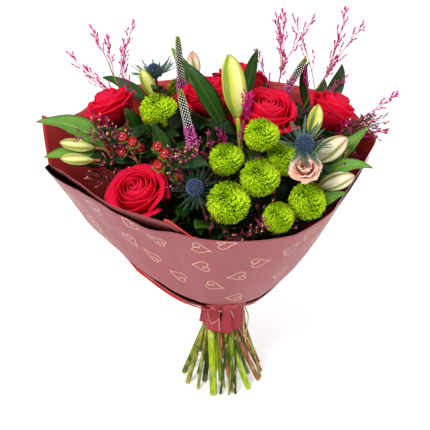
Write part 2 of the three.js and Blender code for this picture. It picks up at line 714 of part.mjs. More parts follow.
function pompomHead(size) {
  const profile = [[0, 0], [0.4, 0.02], [0.9, 0.22], [1, 0.5], [0.8, 0.74], [0.42, 0.9], [0, 0.93]];
  return reliefLathe(
    profile.map(([r, z]) => [r * size, z * size]),
    8,
    (segment, row) => (row > 1 && row < 6 ? 0.08 * ((segment + row) % 2 ? 1 : -1) : 0),
  );
}

function budHead(size, length, segments = 9) {
  const profile = [[0, 0], [0.36, 0], [0.72, 0.22], [1, 0.5], [0.86, 0.76], [0.4, 0.95], [0, 1]];
  return reliefLathe(
    profile.map(([r, z]) => [r * size, z * length]),
    segments,
    (segment, row, turn) => (row > 1 && row < 6 ? 0.06 * Math.cos(3 * turn) : 0),
  );
}

function peachBloom(size) {
  const profile = [[0, 0], [0.2 * size, 0], [0.55 * size, 0.6 * size], [0, 1.1 * size]];
  const heart = reliefLathe(profile, 8, () => 0);
  const petals = Array.from({ length: 6 }, (_, index) => rosePetal(
    size,
    index % 2 ? PEACH_OUTER : PEACH_INNER,
    index,
    6,
  ));
  return fuse([heart, ...petals]);
}

function spikeHead(size, length) {
  const rows = 9;
  const profile = [[0, 0], [0.3 * size, 0]];
  for (let i = 1; i < rows; i += 1) {
    const share = i / rows;
    profile.push([size * (1 - 0.62 * share ** 4), length * share]);
  }
  profile.push([0, length]);
  return reliefLathe(profile, 6, (segment, row) => {
    const bump = row > 1 && row < profile.length - 2;
    return bump ? 0.16 * ((segment + row) % 2 ? 1 : -1) : 0;
  });
}

function thistleHead(size) {
  const profile = [[0, 0], [0.35, 0], [0.8, 0.3], [1, 0.85], [0.85, 1.4], [0.45, 1.75], [0, 1.85]];
  return reliefLathe(
    profile.map(([r, z]) => [r * size, z * size]),
    8,
    (segment, row) => (row > 1 && row < 6 ? 0.08 * ((segment + row) % 2 ? 1 : -1) : 0),
  );
}

// Plants: what each carries, and the obstacles that its blooms make

function headBase(shape, head) {
  const along = shape === "bud" || shape === "spike" ? head.length : head.size;
  return vector(head.head).addScaledVector(unit(head.facing), -HEAD_CENTRE[shape] * along);
}

function turnTo(facing, spin = 0) {
  const turn = new THREE.Quaternion().setFromUnitVectors(new THREE.Vector3(0, 0, 1), facing);
  return turn.multiply(new THREE.Quaternion().setFromAxisAngle(new THREE.Vector3(0, 0, 1), spin));
}

function ringOfBalls(base, turn, reach, height, radius) {
  return Array.from({ length: 6 }, (_, k) => {
    const azimuth = (k * Math.PI) / 3;
    const centre = new THREE.Vector3(reach * Math.cos(azimuth), reach * Math.sin(azimuth), height);
    centre.applyQuaternion(turn).add(base);
    return { a: centre, b: centre.clone(), radius };
  });
}

// Balls and rods that fill a bloom, for keeping stems and leaves out of it.
function headBulk(shape, head) {
  const base = headBase(shape, head);
  const facing = unit(head.facing);
  const turn = turnTo(facing);
  const at = (share) => base.clone().addScaledVector(facing, share);
  const { size, length } = head;
  if (shape === "rose" || shape === "peach") {
    const low = { a: at(0.6 * size), b: at(0.7 * size), radius: 0.62 * size };
    return [low, ...ringOfBalls(base, turn, 0.52 * size, 0.98 * size, 0.5 * size)];
  }
  if (shape === "pompom") {
    const middle = { a: at(0.5 * size), b: at(0.5 * size), radius: 0.52 * size };
    return [middle, ...ringOfBalls(base, turn, 0.6 * size, 0.46 * size, 0.46 * size)];
  }
  if (shape === "bud") return [{ a: at(0.25 * length), b: at(length - 0.8 * size), radius: 1.05 * size }];
  if (shape === "spike") return [{ a: at(size), b: at(length), radius: 1.1 * size }];
  return [{ a: at(size), b: at(size), radius: 1.1 * size }];
}

function plantsOf(kind, shape, list) {
  return list.map((options, i) => {
    const fork = options.fork ? vector(options.fork) : null;
    const heads = options.heads ?? (options.top ? [] : [options]);
    return { ...options, name: `${kind}_${i + 1}`, kind, shape, heads, fork, radius: STEM_RADIUS[kind] };
  });
}

const plants = [
  ...plantsOf("rose", "rose", ROSES),
  ...plantsOf("pompom", "pompom", POMPOM_SPRAYS),
  ...plantsOf("lily", "bud", LILIES),
  ...plantsOf("alstroemeria", "bud", ALSTROEMERIAS),
  ...plantsOf("veronica", "spike", VERONICAS),
  ...plantsOf("thistle", "thistle", THISTLES),
  ...plantsOf("hypericum", "spray", BERRY_SPRAYS),
  ...plantsOf("grass", "spray", GRASSES),
  ...plantsOf("floret", "spray", FLORET_SPRAYS),
  ...plantsOf("foliage", "spray", FOLIAGE),
];

// Where each stem goes: its only bloom, the fork below its blooms, or the top of its spray.
for (const it of plants) {
  if (it.top) {
    it.goal = vector(it.top);
    it.facing = unit(it.facing);
  } else if (it.fork) {
    it.goal = it.fork;
    it.facing = it.fork.clone().sub(new THREE.Vector3(0, 0, TIE_HEIGHT - 60)).normalize();
  } else {
    it.facing = unit(it.heads[0].facing);
    it.goal = headBase(it.shape, it.heads[0]).addScaledVector(it.facing, -HEAD_GAP);
  }
}

const tiePlaces = packAtTie(plants);
const bundleRadius = Math.max(...plants.map((it, i) => tiePlaces[i].length() + 1.04 * it.radius));
const stringInner = bundleRadius + STRING_GAP;
const sheetInner = stringInner + 2 * STRING_RADIUS + SHEET_GAP;
const neckRadius = sheetInner + 0.5 * PAPER_THICKNESS; // middle of the sheet where it is tied

plants.forEach((it, i) => {
  it.place = tiePlaces[i];
  it.path = { points: firstPath(it.place, it.goal, it.facing), radius: it.radius, owner: it.name };
  it.path.firstRod = 1;
  it.path.firstFree = 2;
  it.branches = [];
  const carried = it.heads.map((head) => [it.shape, head]);
  if (it.bloom) carried.push(["peach", it.bloom]);
  it.carried = carried;
  if (it.fork) {
    it.branches = carried.map(([shape, head]) => {
      const facing = unit(head.facing);
      const end = headBase(shape, head).addScaledVector(facing, -HEAD_GAP);
      const start = it.goal.clone().addScaledVector(it.facing, -3);
      const points = branchPath(start, end, facing);
      return { points, radius: 0.62 * it.radius, owner: it.name, firstRod: 0, firstFree: 1 };
    });
  }
});

const bulks = plants.flatMap((it) => it.carried.flatMap(([shape, head], k) => {
  const headName = FUSED_HEADS.includes(it.kind) ? it.name : `${it.name}_${k}`;
  return headBulk(shape, head).map((ball) => ({ ...ball, owner: it.name, head: headName }));
}));
bendClear(plants.flatMap((it) => [it.path, ...it.branches]), bulks);

for (const it of plants) {
  for (const path of [it.path, ...it.branches]) {
    for (let k = 0; k + 1 < path.points.length; k += 1) {
      addObstacle(path.points[k], path.points[k + 1], path.radius, it.name);
    }
  }
}
bulks.forEach((ball) => addObstacle(ball.a, ball.b, ball.radius, ball.head));

// Solid stems

function stemRadii(points, radius, tip) {
  return points.map((_, i) => {
    const share = i / (points.length - 1);
    return radius * (1.04 - (1.04 - tip) * share);
  });
}

function flaredStem(path, tip, flare, sides, levelStart) {
  const { points, radius } = path;
  if (!flare) return tube(points, stemRadii(points, radius, tip), sides, levelStart);
  const end = points[points.length - 1];
  const neck = points[points.length - 2];
  const facing = end.clone().sub(neck).normalize();
  const rounded = [...points.slice(0, -1), end.clone().addScaledVector(facing, -5), end];
  const radii = stemRadii(rounded, radius, tip);
  radii[radii.length - 1] = flare;
  radii[radii.length - 2] = 0.5 * (flare + radii[radii.length - 3]);
  return tube(rounded, radii, sides, levelStart);
}

function sepals(end, facing, size, count) {
  const turn = turnTo(facing);
  return Array.from({ length: count }, (_, k) => {
    const azimuth = (2 * Math.PI * k) / count;
    const out = new THREE.Vector3(Math.cos(azimuth), Math.sin(azimuth), 0).applyQuaternion(turn);
    const start = end.clone().addScaledVector(facing, -4.5);
    const bend = start.clone().addScaledVector(out, 0.7 * size);
    const tip = start.clone().addScaledVector(out, size).addScaledVector(facing, -0.45 * size);
    const path = new THREE.QuadraticBezierCurve3(start, bend, tip);
    return blade(leafGrid(path, 0.42 * size, 0, 2, facing), 1);
  });
}

// A twig with buds is a slim tube whose radius swells at each bud.
function budTwig(start, direction, length, twig, bud, buds, random) {
  const points = [start.clone()];
  const radii = [twig];
  const side = direction.clone().cross(new THREE.Vector3(0.3, 0.2, 1)).normalize();
  const steps = 2 * buds;
  for (let k = 1; k <= steps; k += 1) {
    const share = 0.3 + (0.7 * k) / steps;
    const point = start.clone().addScaledVector(direction, length * share);
    point.addScaledVector(side, (k % 4 < 2 ? 1 : -1) * 0.02 * length * random());
    point.z += 0.06 * length * share * share;
    points.push(point);
    radii.push(k % 2 ? bud : 0.7 * twig);
  }
  return { points, radii };
}

function spray(it, options) {
  const random = randomFrom(it.seed);
  const parts = [];
  const { points } = it.path;
  const top = points[points.length - 1];
  const turn = turnTo(it.facing);
  for (let k = 0; k < options.twigs; k += 1) {
    const share = k / (options.twigs - 1);
    const start = pointBelowTop(points, options.depth * (1 - share));
    const azimuth = k * 2.4 + random();
    const lean = options.spread * (1 - 0.75 * share) * (0.75 + 0.5 * random());
    const direction = new THREE.Vector3(
      Math.sin(lean) * Math.cos(azimuth),
      Math.sin(lean) * Math.sin(azimuth),
      Math.cos(lean),
    ).applyQuaternion(turn);
    const length = options.length * (0.7 + 0.5 * random());
    const tip = start.clone().addScaledVector(direction, length);
    const seed = it.seed * 100 + k;
    const make = (swing) => {
      const twig = budTwig(
        start,
        direction.clone().applyQuaternion(swing),
        length,
        options.twig,
        options.bud,
        options.buds,
        randomFrom(seed),
      );
      const samples = [];
      for (let i = 0; i + 1 < twig.points.length; i += 1) {
        [0.25, 0.5, 0.75, 1].forEach((s) => samples.push(twig.points[i].clone().lerp(twig.points[i + 1], s)));
      }
      return { twig, samples };
    };
    const best = settle(start, tip, make, it.name, options.bud + 1);
    if (best.room > 0) {
      const { twig } = best.made;
      for (let i = 0; i + 1 < twig.points.length; i += 1) {
        addObstacle(twig.points[i], twig.points[i + 1], options.bud, it.name);
      }
      parts.push(tube(twig.points, twig.radii, 3));
    }
  }
  return parts;
}

function pointBelowTop(points, depth) {
  let left = depth;
  for (let i = points.length - 1; i > 0; i -= 1) {
    const step = points[i].distanceTo(points[i - 1]);
    if (left <= step) return points[i].clone().lerp(points[i - 1], left / step);
    left -= step;
  }
  return points[0].clone();
}

function berries(it) {
  const random = randomFrom(it.seed);
  const parts = [];
  const { points } = it.path;
  const turn = turnTo(it.facing);
  for (let k = 0; k < 7; k += 1) {
    const share = k / 6;
    const start = pointBelowTop(points, 44 * (1 - share));
    const azimuth = k * 2.4 + 0.6 * random();
    const lean = 1.15 * (1 - 0.85 * share);
    const direction = new THREE.Vector3(
      Math.sin(lean) * Math.cos(azimuth),
      Math.sin(lean) * Math.sin(azimuth),
      Math.cos(lean),
    ).applyQuaternion(turn);
    const length = 15 + 7 * random();
    const tip = start.clone().addScaledVector(direction, length);
    const make = (swing) => {
      const centre = direction.clone().applyQuaternion(swing).multiplyScalar(length).add(start);
      return { centre, samples: [centre, centre.clone().lerp(start, 0.4)] };
    };
    const best = settle(start, tip, make, it.name, BERRY_RADIUS + 0.8);
    if (best.room > 0) {
      const { centre } = best.made;
      addObstacle(centre, centre.clone(), BERRY_RADIUS, it.name);
      parts.push(tube([start, centre], [1, 0.8], 3));
      parts.push(new THREE.IcosahedronGeometry(BERRY_RADIUS, 0).translate(...centre.toArray()));
    }
  }
  return parts;
}

// Twig leaves near the top of a foliage stem
function foliageLeaves(it) {
  const { points } = it.path;
  const turn = turnTo(it.facing);
  const parts = [];
  for (let k = 0; k < 2; k += 1) {
    const start = pointBelowTop(points, 8 + 26 * k);
    const azimuth = k * 2.2 + it.place.x;
    const out = new THREE.Vector3(Math.cos(azimuth), Math.sin(azimuth), 1.1).normalize();
    out.applyQuaternion(turn);
    const leaf = {
      from: start.z,
      bend: start.clone().addScaledVector(out, 22).toArray(),
      tip: start.clone().addScaledVector(out, 36).add(new THREE.Vector3(0, 0, -3)).toArray(),
      width: 20,
      stalk: 0.05,
    };
    parts.push(placedLeaf(points, leaf, it.name));
  }
  return parts;
}

// Spiny bracts in a star under a thistle head
function bracts(base, facing, size, owner) {
  const turn = turnTo(facing);
  const parts = [];
  for (let k = 0; k < 6; k += 1) {
    const azimuth = (2 * Math.PI * k) / 6;
    const out = new THREE.Vector3(Math.cos(azimuth), Math.sin(azimuth), 0.3).normalize();
    out.applyQuaternion(turn);
    const start = base.clone().addScaledVector(facing, 1.5);
    const tip = start.clone().addScaledVector(out, 3.1 * size);
    const make = (swing) => {
      const reach = tip.clone().sub(start).applyQuaternion(swing);
      const path = new THREE.QuadraticBezierCurve3(
        start,
        start.clone().addScaledVector(reach, 0.5).addScaledVector(facing, -1.5),
        start.clone().add(reach),
      );
      const grid = leafGrid(path, 0.75 * size, 0, 2, facing);
      return { grid, samples: gridSamples(grid) };
    };
    const best = settle(start, tip, make, owner, 1.2);
    if (best.room > 0) {
      best.made.samples.forEach((sample) => addObstacle(sample, sample.clone(), 1, owner));
      parts.push(blade(best.made.grid, 1.1));
    }
  }
  return parts;
}

// Assembly

const bouquet = new THREE.Group();

function addMesh(name, geometry, colour, roughness = 0.6) {
  const material = new THREE.MeshStandardMaterial({ color: colour, roughness, metalness: 0 });
  const mesh = new THREE.Mesh(geometry, material);
  mesh.name = name;
  bouquet.add(mesh);
  return mesh;
}

function placeHead(name, geometry, shape, head, colour) {
  const mesh = addMesh(name, geometry, colour);
  mesh.position.copy(headBase(shape, head));
  mesh.quaternion.copy(turnTo(unit(head.facing), head.spin));
}

function stemSides(radius) {
  if (radius > 4) return 6;
  return radius > 2.5 ? 5 : 4;
}

const FUSED_SHAPES = {
  bud: (head) => budHead(head.size, head.length, 6),
  spike: (head) => spikeHead(head.size, head.length),
  thistle: (head) => thistleHead(head.size),
};

function headOnStem(shape, head) {
  const facing = unit(head.facing);
  const base = headBase(shape, head).addScaledVector(facing, -HEAD_GAP - 1);
  return FUSED_SHAPES[shape](head).applyQuaternion(turnTo(facing)).translate(...base.toArray());
}

const leavesOf = (it) => LEAVES.filter((leaf) => leaf.plant === it.name)
  .map((leaf) => placedLeaf(it.path.points, leaf, it.name));

const EXTRA_PARTS = {
  rose: (it) => sepals(it.goal, it.facing, 17, 5),
  hypericum: berries,
  grass: (it) => spray(it, SPRAYS.grass),
  floret: (it) => spray(it, SPRAYS.floret),
  foliage: foliageLeaves,
};

let pompomNumber = 0;
let budNumber = 0;
for (const it of plants) {
  const parts = [];
  const ownFlare = it.fork || it.top ? 0 : FLARES[it.kind] ?? 0.8 * it.radius;
  parts.push(flaredStem(it.path, it.top ? 0.5 : 0.8, ownFlare, stemSides(it.radius), true));
  it.branches.forEach((branch, k) => {
    const flare = it.kind === "pompom" ? FLARES.pompom : FLARES[it.carried[k][0]];
    parts.push(flaredStem(branch, 0.9, flare, 4, false));
  });
  parts.push(...leavesOf(it));
  if (EXTRA_PARTS[it.kind]) parts.push(...EXTRA_PARTS[it.kind](it));
  if (it.kind === "thistle") {
    parts.push(...bracts(headBase("thistle", it.heads[0]), it.facing, it.heads[0].size, it.name));
  }
  if (FUSED_HEADS.includes(it.kind)) {
    it.heads.forEach((head) => parts.push(headOnStem(it.shape, head)));
  }
  const ownName = ["rose", "pompom", "lily"].includes(it.kind) ? `${it.name}_stem` : it.name;
  const colour = FUSED_HEADS.includes(it.kind) ? COLOURS[it.kind] : COLOURS.stem;
  addMesh(ownName, fuse(parts), it.kind === "grass" ? COLOURS.grass : colour);
  it.carried.forEach(([shape, head]) => {
    if (shape === "rose") placeHead(`${it.name}_bloom`, roseBloom(head.size), shape, head, COLOURS.rose);
    if (shape === "peach") placeHead("peach_bloom", peachBloom(head.size), shape, head, COLOURS.peach);
    if (shape === "pompom") {
      pompomNumber += 1;
      placeHead(`pompom_head_${pompomNumber}`, pompomHead(head.size), shape, head, COLOURS.pompom);
    }
    if (it.kind === "lily") {
      budNumber += 1;
      placeHead(`lily_bud_${budNumber}`, budHead(head.size, head.length), shape, head, COLOURS.lily);
    }
  });
}

// Paper sheets

// A sheet of even thickness over a grid of points, closed round the axis or open at its sides.
function sheet(grid, thickness, closed) {
  const rows = grid.length;
  const columns = grid[0].length;
  const vertices = [];
  for (const face of [0.5, -0.5]) {
    for (let i = 0; i < rows; i += 1) {
      for (let j = 0; j < columns; j += 1) {
        const left = closed ? (j + columns - 1) % columns : Math.max(j - 1, 0);
        const right = closed ? (j + 1) % columns : Math.min(j + 1, columns - 1);
        const across = grid[i][right].clone().sub(grid[i][left]);
        const along = grid[Math.min(i + 1, rows - 1)][j].clone().sub(grid[Math.max(i - 1, 0)][j]);
        const normal = across.cross(along).normalize();
        vertices.push(grid[i][j].clone().addScaledVector(normal, face * thickness));
      }
    }
  }
  const triangles = [];
  const inner = rows * columns;
  const quad = (a, b, c, d) => triangles.push(a, b, c, a, c, d);
  const spans = closed ? columns : columns - 1;
  for (let j = 0; j < spans; j += 1) {
    const next = (j + 1) % columns;
    for (let i = 0; i + 1 < rows; i += 1) {
      const a = i * columns + j;
      const b = i * columns + next;
      quad(a, b, b + columns, a + columns);
      quad(inner + a, inner + a + columns, inner + b + columns, inner + b);
    }
    const last = (rows - 1) * columns;
    quad(j, inner + j, inner + next, next);
    quad(last + next, inner + last + next, inner + last + j, last + j);
  }
  if (!closed) {
    for (let i = 0; i + 1 < rows; i += 1) {
      const a = i * columns;
      const b = a + columns;
      quad(a, b, inner + b, inner + a);
      quad(a + columns - 1, inner + a + columns - 1, inner + b + columns - 1, b + columns - 1);
    }
  }
  return geometryFrom(vertices, triangles);
}

function around(azimuth, radius, height) {
  return new THREE.Vector3(radius * Math.cos(azimuth), radius * Math.sin(azimuth), height);
}

function innerSheet() {
  const pleat = (j, depth) => depth * (j % PLEAT_EVERY === 0 ? 1 : -0.5);
  const rows = COLLAR_STEPS.map(([height, flare, depth]) => Array.from({ length: SHEET_COLUMNS }, (_, j) => {
    const azimuth = (2 * Math.PI * j) / SHEET_COLUMNS;
    return around(azimuth, neckRadius + flare + pleat(j, depth), height);
  }));
  for (const share of BOWL_SHARES) {
    rows.push(Array.from({ length: SHEET_COLUMNS }, (_, j) => {
      const azimuth = (2 * Math.PI * j) / SHEET_COLUMNS;
      const height = BOWL_BOTTOM + share * (readRim(INNER_RIM, azimuth)[1] - BOWL_BOTTOM);
      const depth = 0.2 * Math.max(0, 1 - 4 * share);
      return around(azimuth, bowlRadius(azimuth, height) + pleat(j, depth), height);
    }));
  }
  return sheet(rows, PAPER_THICKNESS, true);
}

function outerSheet() {
  const turns = [184, ...Array.from({ length: 14 }, (_, k) => 192 + 12 * k)];
  const rows = [0, 0.12, 0.3, 0.52, 0.76, 1].map((share) => turns.map((degrees) => {
    const azimuth = (degrees * Math.PI) / 180;
    const [hem, standOff] = readRim(OUTER_HEM, azimuth);
    const [, rim] = readRim(OUTER_RIM, azimuth);
    const height = hem + share * (rim - hem);
    const slope = (bowlRadius(azimuth, height + 1) - bowlRadius(azimuth, height - 1)) / 2;
    const lean = Math.hypot(1, slope);
    const gape = 7 * Math.max(0, 1 - Math.abs(degrees - 200) / 18) * share ** 3;
    const offset = SHEET_OFFSET + (standOff - SHEET_OFFSET) * Math.max(0, 1 - 2.2 * share) + gape;
    return around(azimuth, bowlRadius(azimuth, height) + offset / lean, height - (offset * slope) / lean);
  }));
  return sheet(rows, PAPER_THICKNESS, false);
}

// Turns of string or twine round the bundle, side by side
function coils(innerRadius, cordRadius, turns) {
  const half = turns * cordRadius;
  const profile = [[innerRadius, half], [innerRadius, -half]];
  for (let k = 0; k < turns; k += 1) {
    const middle = (2 * k + 1 - turns) * cordRadius;
    profile.push([innerRadius + 1.4 * cordRadius, middle - cordRadius]);
    profile.push([innerRadius + 2 * cordRadius, middle]);
  }
  profile.push([innerRadius + 1.4 * cordRadius, half], [innerRadius, half]);
  return new THREE.LatheGeometry(profile.map(([r, z]) => new THREE.Vector2(r, z)), 16).rotateX(Math.PI / 2);
}

function cordAlong(points) {
  const corners = Array.from({ length: 8 }, (_, k) => new THREE.Vector2(
    TWINE_RADIUS * Math.cos((k * Math.PI) / 4),
    TWINE_RADIUS * Math.sin((k * Math.PI) / 4),
  ));
  const path = new THREE.CatmullRomCurve3(points.map(vector));
  const steps = Math.ceil(path.getLength() / (5 * TWINE_RADIUS));
  const options = { steps, extrudePath: path, bevelEnabled: false };
  return new THREE.ExtrudeGeometry(new THREE.Shape(corners), options);
}

addMesh("wrap_inner_sheet", innerSheet(), COLOURS.collar, 0.75);
addMesh("wrap_outer_sheet", outerSheet(), COLOURS.wrap, 0.75);
const string = addMesh("binding_string", coils(stringInner, STRING_RADIUS, 2), COLOURS.string, 0.8);
string.position.z = TIE_HEIGHT;

const twineInner = neckRadius + 0.5 * PAPER_THICKNESS + TWINE_GAP;
const tieKnot = new THREE.IcosahedronGeometry(3, 0).scale(1, 1, 0.9);
tieKnot.translate(...around(TIE_AZIMUTH, twineInner + 2.6, 0).toArray());
const tie = addMesh("twine_tie", fuse([coils(twineInner, TWINE_RADIUS, 2), tieKnot]), COLOURS.twine, 0.8);
tie.position.z = TIE_HEIGHT;
addMesh("twine_strand_1", cordAlong(STRAND_1), COLOURS.twine, 0.8);
addMesh("twine_strand_2", cordAlong(STRAND_2), COLOURS.twine, 0.8);

const knotParts = KNOT_ENDS.map((end) => tube(
  [new THREE.Vector3(), vector(end)],
  [TWINE_RADIUS, 0.7 * TWINE_RADIUS],
  5,
));
const knotSolid = fuse([new THREE.IcosahedronGeometry(2.9, 0), ...knotParts]);
const knot = addMesh("twine_knot", knotSolid, COLOURS.twine, 0.8);
knot.position.set(...LOOSE_KNOT);

// The bouquet stands with the middle of its outline at the origin.
bouquet.updateMatrixWorld(true);
const outline = new THREE.Box3().setFromObject(bouquet, true);
bouquet.position.set(-(outline.min.x + outline.max.x) / 2, -(outline.min.y + outline.max.y) / 2, 0);

const part = new THREE.Group();
part.add(bouquet);

export default part;
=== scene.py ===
import itertools
import math

import bpy
import numpy as np
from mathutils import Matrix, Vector


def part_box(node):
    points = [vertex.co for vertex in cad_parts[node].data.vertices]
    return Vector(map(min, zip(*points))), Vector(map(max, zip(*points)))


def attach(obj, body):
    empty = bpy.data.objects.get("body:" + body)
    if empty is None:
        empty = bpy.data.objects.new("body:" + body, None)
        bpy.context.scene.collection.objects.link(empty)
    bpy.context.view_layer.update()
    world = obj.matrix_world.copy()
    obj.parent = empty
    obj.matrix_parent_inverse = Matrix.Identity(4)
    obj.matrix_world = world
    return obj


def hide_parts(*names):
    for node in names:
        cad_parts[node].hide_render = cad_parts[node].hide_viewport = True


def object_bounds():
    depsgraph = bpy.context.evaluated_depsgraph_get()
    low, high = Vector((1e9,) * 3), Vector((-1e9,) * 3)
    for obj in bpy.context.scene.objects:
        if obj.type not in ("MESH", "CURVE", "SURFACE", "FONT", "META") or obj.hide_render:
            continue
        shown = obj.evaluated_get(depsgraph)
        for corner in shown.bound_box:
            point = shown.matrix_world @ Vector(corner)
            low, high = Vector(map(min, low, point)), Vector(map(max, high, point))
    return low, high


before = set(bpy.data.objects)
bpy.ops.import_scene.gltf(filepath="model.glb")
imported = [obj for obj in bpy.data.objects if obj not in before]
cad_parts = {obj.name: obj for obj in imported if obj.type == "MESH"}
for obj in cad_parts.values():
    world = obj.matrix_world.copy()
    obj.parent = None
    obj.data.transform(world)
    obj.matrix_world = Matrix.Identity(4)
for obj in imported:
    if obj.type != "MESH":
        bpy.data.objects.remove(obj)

# A hand-tied mixed bouquet in a paper wrap, dressed over its frame. Lengths are in millimetres, laid out
# round the tie at x = y = 0 as in the frame's source, and the pieces are put in place by SHIFT, in metres.

CAD_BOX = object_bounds()
STRING_LOW, STRING_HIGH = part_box("binding_string")
SHIFT = np.array([(STRING_LOW.x + STRING_HIGH.x) / 2, (STRING_LOW.y + STRING_HIGH.y) / 2, 0.0])
BOX_LOW, BOX_HIGH = [(np.array(corner) - SHIFT) * 1000 for corner in CAD_BOX]

# Bundle
TIE_HEIGHT = 104
SPIRAL_RATE = 0.029  # sideways travel per mm of height and per mm from the axis
STEM_GAP = 0.5
HEAD_GAP = 0.3
NECK_LENGTH = 14
LEVEL_STEP = 46
TIE_TURN = math.radians(50)
PACK_ROUNDS = 1500
BEND_ROUNDS = 160
SMOOTH_ROUNDS = 100
BEND_MARGIN = 1.2
LEAF_MARGIN = 2.4
BERRY_RADIUS = 5.6
ROOM_SIZE = 60000  # rods and balls that the room can hold

# Numbers of parts
ROSE_PETALS = 23
POMPOM_FLORETS = 760
THISTLE_SPIKES = 190
SMALL_BRACTS = 22
THIN_STEMS = 14
BACK_HEARTS = 30

# Seeds of the random numbers. To the first seven, a plant's or bloom's number, seed or name is added.
SEEDS = {
    "rose": 100, "pompom": 200, "veronica": 300, "thistle": 400, "filling": 500, "bract": 600, "twig": 900,
    "leaf": 7, "thin_stem": 77, "peach": 5, "heart": 31,
}

# Paper and cords
PAPER_THICKNESS = 0.8
BOWL_BOTTOM = TIE_HEIGHT + 4.4
BOWL_POWER = 0.65
BOWL_SKEW = 0.06
SHEET_OFFSET = 2.4
STRING_RADIUS = 0.8
STRING_GAP = 0.6
SHEET_GAP = 0.55

# Rims of the two sheets: azimuth in degrees (0 right, 90 back, 180 left, 270 front), radius, height
INNER_RIM = [
    (0, 168, 318), (8, 158, 324), (43, 154, 330), (92, 134, 334), (142, 160, 334), (160, 176, 322),
    (172, 184, 324), (180, 200, 343), (190, 194, 300), (200, 184, 306), (210, 174, 303), (217, 169, 297),
    (226, 164, 292), (236, 155, 288), (247, 146, 281), (256, 139, 262), (272, 136, 258), (300, 138, 256),
    (320, 143, 270), (332, 150, 291), (345, 162, 318), (352, 166, 321), (360, 168, 318),
]
OUTER_RIM = [
    (184, 203, 297), (190, 202, 299), (200, 192, 302), (210, 182, 298), (217, 176, 294), (226, 170, 285),
    (236, 160, 279), (247, 150, 273), (260, 143, 268), (272, 140, 265), (300, 142, 263), (312, 144, 270),
    (320, 147, 275), (332, 152, 288), (350, 166, 308),
]

# Lower edge of the outer sheet as it shows: azimuth, height, distance off the inner sheet
HEM = [
    (184, 232, 4), (205, 219, 6), (215, 209, 7), (223, 195, 7), (230, 184, 7), (235, 171, 7), (242, 160, 6),
    (250, 151, 5), (262, 145, 3), (278, 143, 2), (292, 145, 3), (302, 152, 4), (312, 168, 4.5),
    (320, 186, 4.5), (332, 212, 4), (350, 232, 3),
]

SHEET_TURNS = 320  # points round the inner sheet
COLLAR_FOLDS = 22
COLLAR_HEM = 77  # mean height of the collar's lower edge
COLLAR_TOP = 102
SHEET_THICKNESS = 0.5  # of the sheets as they look

# How far below its hem the outer sheet shades the inner sheet: azimuth, depth
SHADE_DEPTHS = [
    (184, 3), (240, 4), (256, 5), (262, 0), (290, 0), (297, 20), (307, 26), (314, 27), (322, 14), (335, 7),
    (350, 2),
]

# Free edge of the fold at the lower left of the inner sheet: azimuth, height
FOLD_EDGE = [
    (196, 186), (203, 178), (210, 171), (216, 164), (222, 156), (227, 148), (232, 140), (238, 136),
    (245, 134), (256, 129),
]
FOLD_DEPTH = 17
FOLD_LIFT = 4.4

# Printed lines on the flap: azimuth in degrees and share of its height, from point to point
FLAP_LINES = [
    [(256, 0.9), (257, 0.7), (259, 0.35), (260, 0.04)],
    [(236, 0.42), (243, 0.3), (251, 0.25), (259, 0.28)],
    [(229, 0.8), (233, 0.55), (237, 0.42)],
    [(283, 0.5), (289, 0.62), (296, 0.6)],
]
FLAP_MIDDLE = 268

# Hearts on the outer sheet: azimuth in degrees, share of the sheet's height, turn in degrees
HEARTS = [
    (231, 0.93, -35), (226, 0.6, 30), (241, 0.82, -120), (259, 0.87, 78), (270, 0.96, 100), (234, 0.48, -130),
    (244, 0.34, -110), (259, 0.62, -85), (263, 0.34, 70), (287, 0.68, 100), (278, 0.5, -80), (302, 0.76, 120),
    (305, 0.34, 125), (279, 0.13, -90), (203, 0.32, 20), (311, 0.84, 110), (205, 0.1, -60), (199, 0.62, -60),
    (320, 0.5, -60), (330, 0.78, 100), (342, 0.4, 60), (214, 0.8, -110), (338, 0.8, -100), (322, 0.92, -70),
]
HEART_SIZE = 10
PRINT_THICKNESS = 0.12

# The twine's two hanging strands, from the tie down to their knot, and the cut ends below it
STRAND_1 = [(23.8, -12.6, 101), (23.9, -16.2, 92), (24, -18.6, 81), (24.4, -19.3, 69.5)]
STRAND_2 = [(25.6, -10.8, 101), (29.2, -13, 92), (29.2, -16.2, 81), (26.6, -19.1, 69.5)]
LOOSE_KNOT = np.array([25.5, -19.4, 66.6])
KNOT_ENDS = [(1.2, -1.4, -9), (6.6, -2.4, -13)]
TWINE_RADIUS = 0.9
PLY_PITCH = 5.0  # length of cord in which its two plies turn once round each other
TWINE_GAP = 0.7
TIE_AZIMUTH = math.radians(-26)

# Camera
FOCUS = np.array([-10.0, 0.0, 219.0])  # the point that the camera looks at, in the layout
CAMERA_DISTANCE = 1250
CAMERA_ELEVATION = math.radians(28)
LENS = 91.0
SENSOR_WIDTH = 36

# Stage, in metres
FLOOR_HALF = 6.0
LIT_POINT = (0, 0, 0.25)
WHITE = (1, 1, 1, 1)


def head(centre, facing, size, length=None, spin=0.0):
    return {"head": centre, "facing": facing, "size": size, "length": length, "spin": spin}


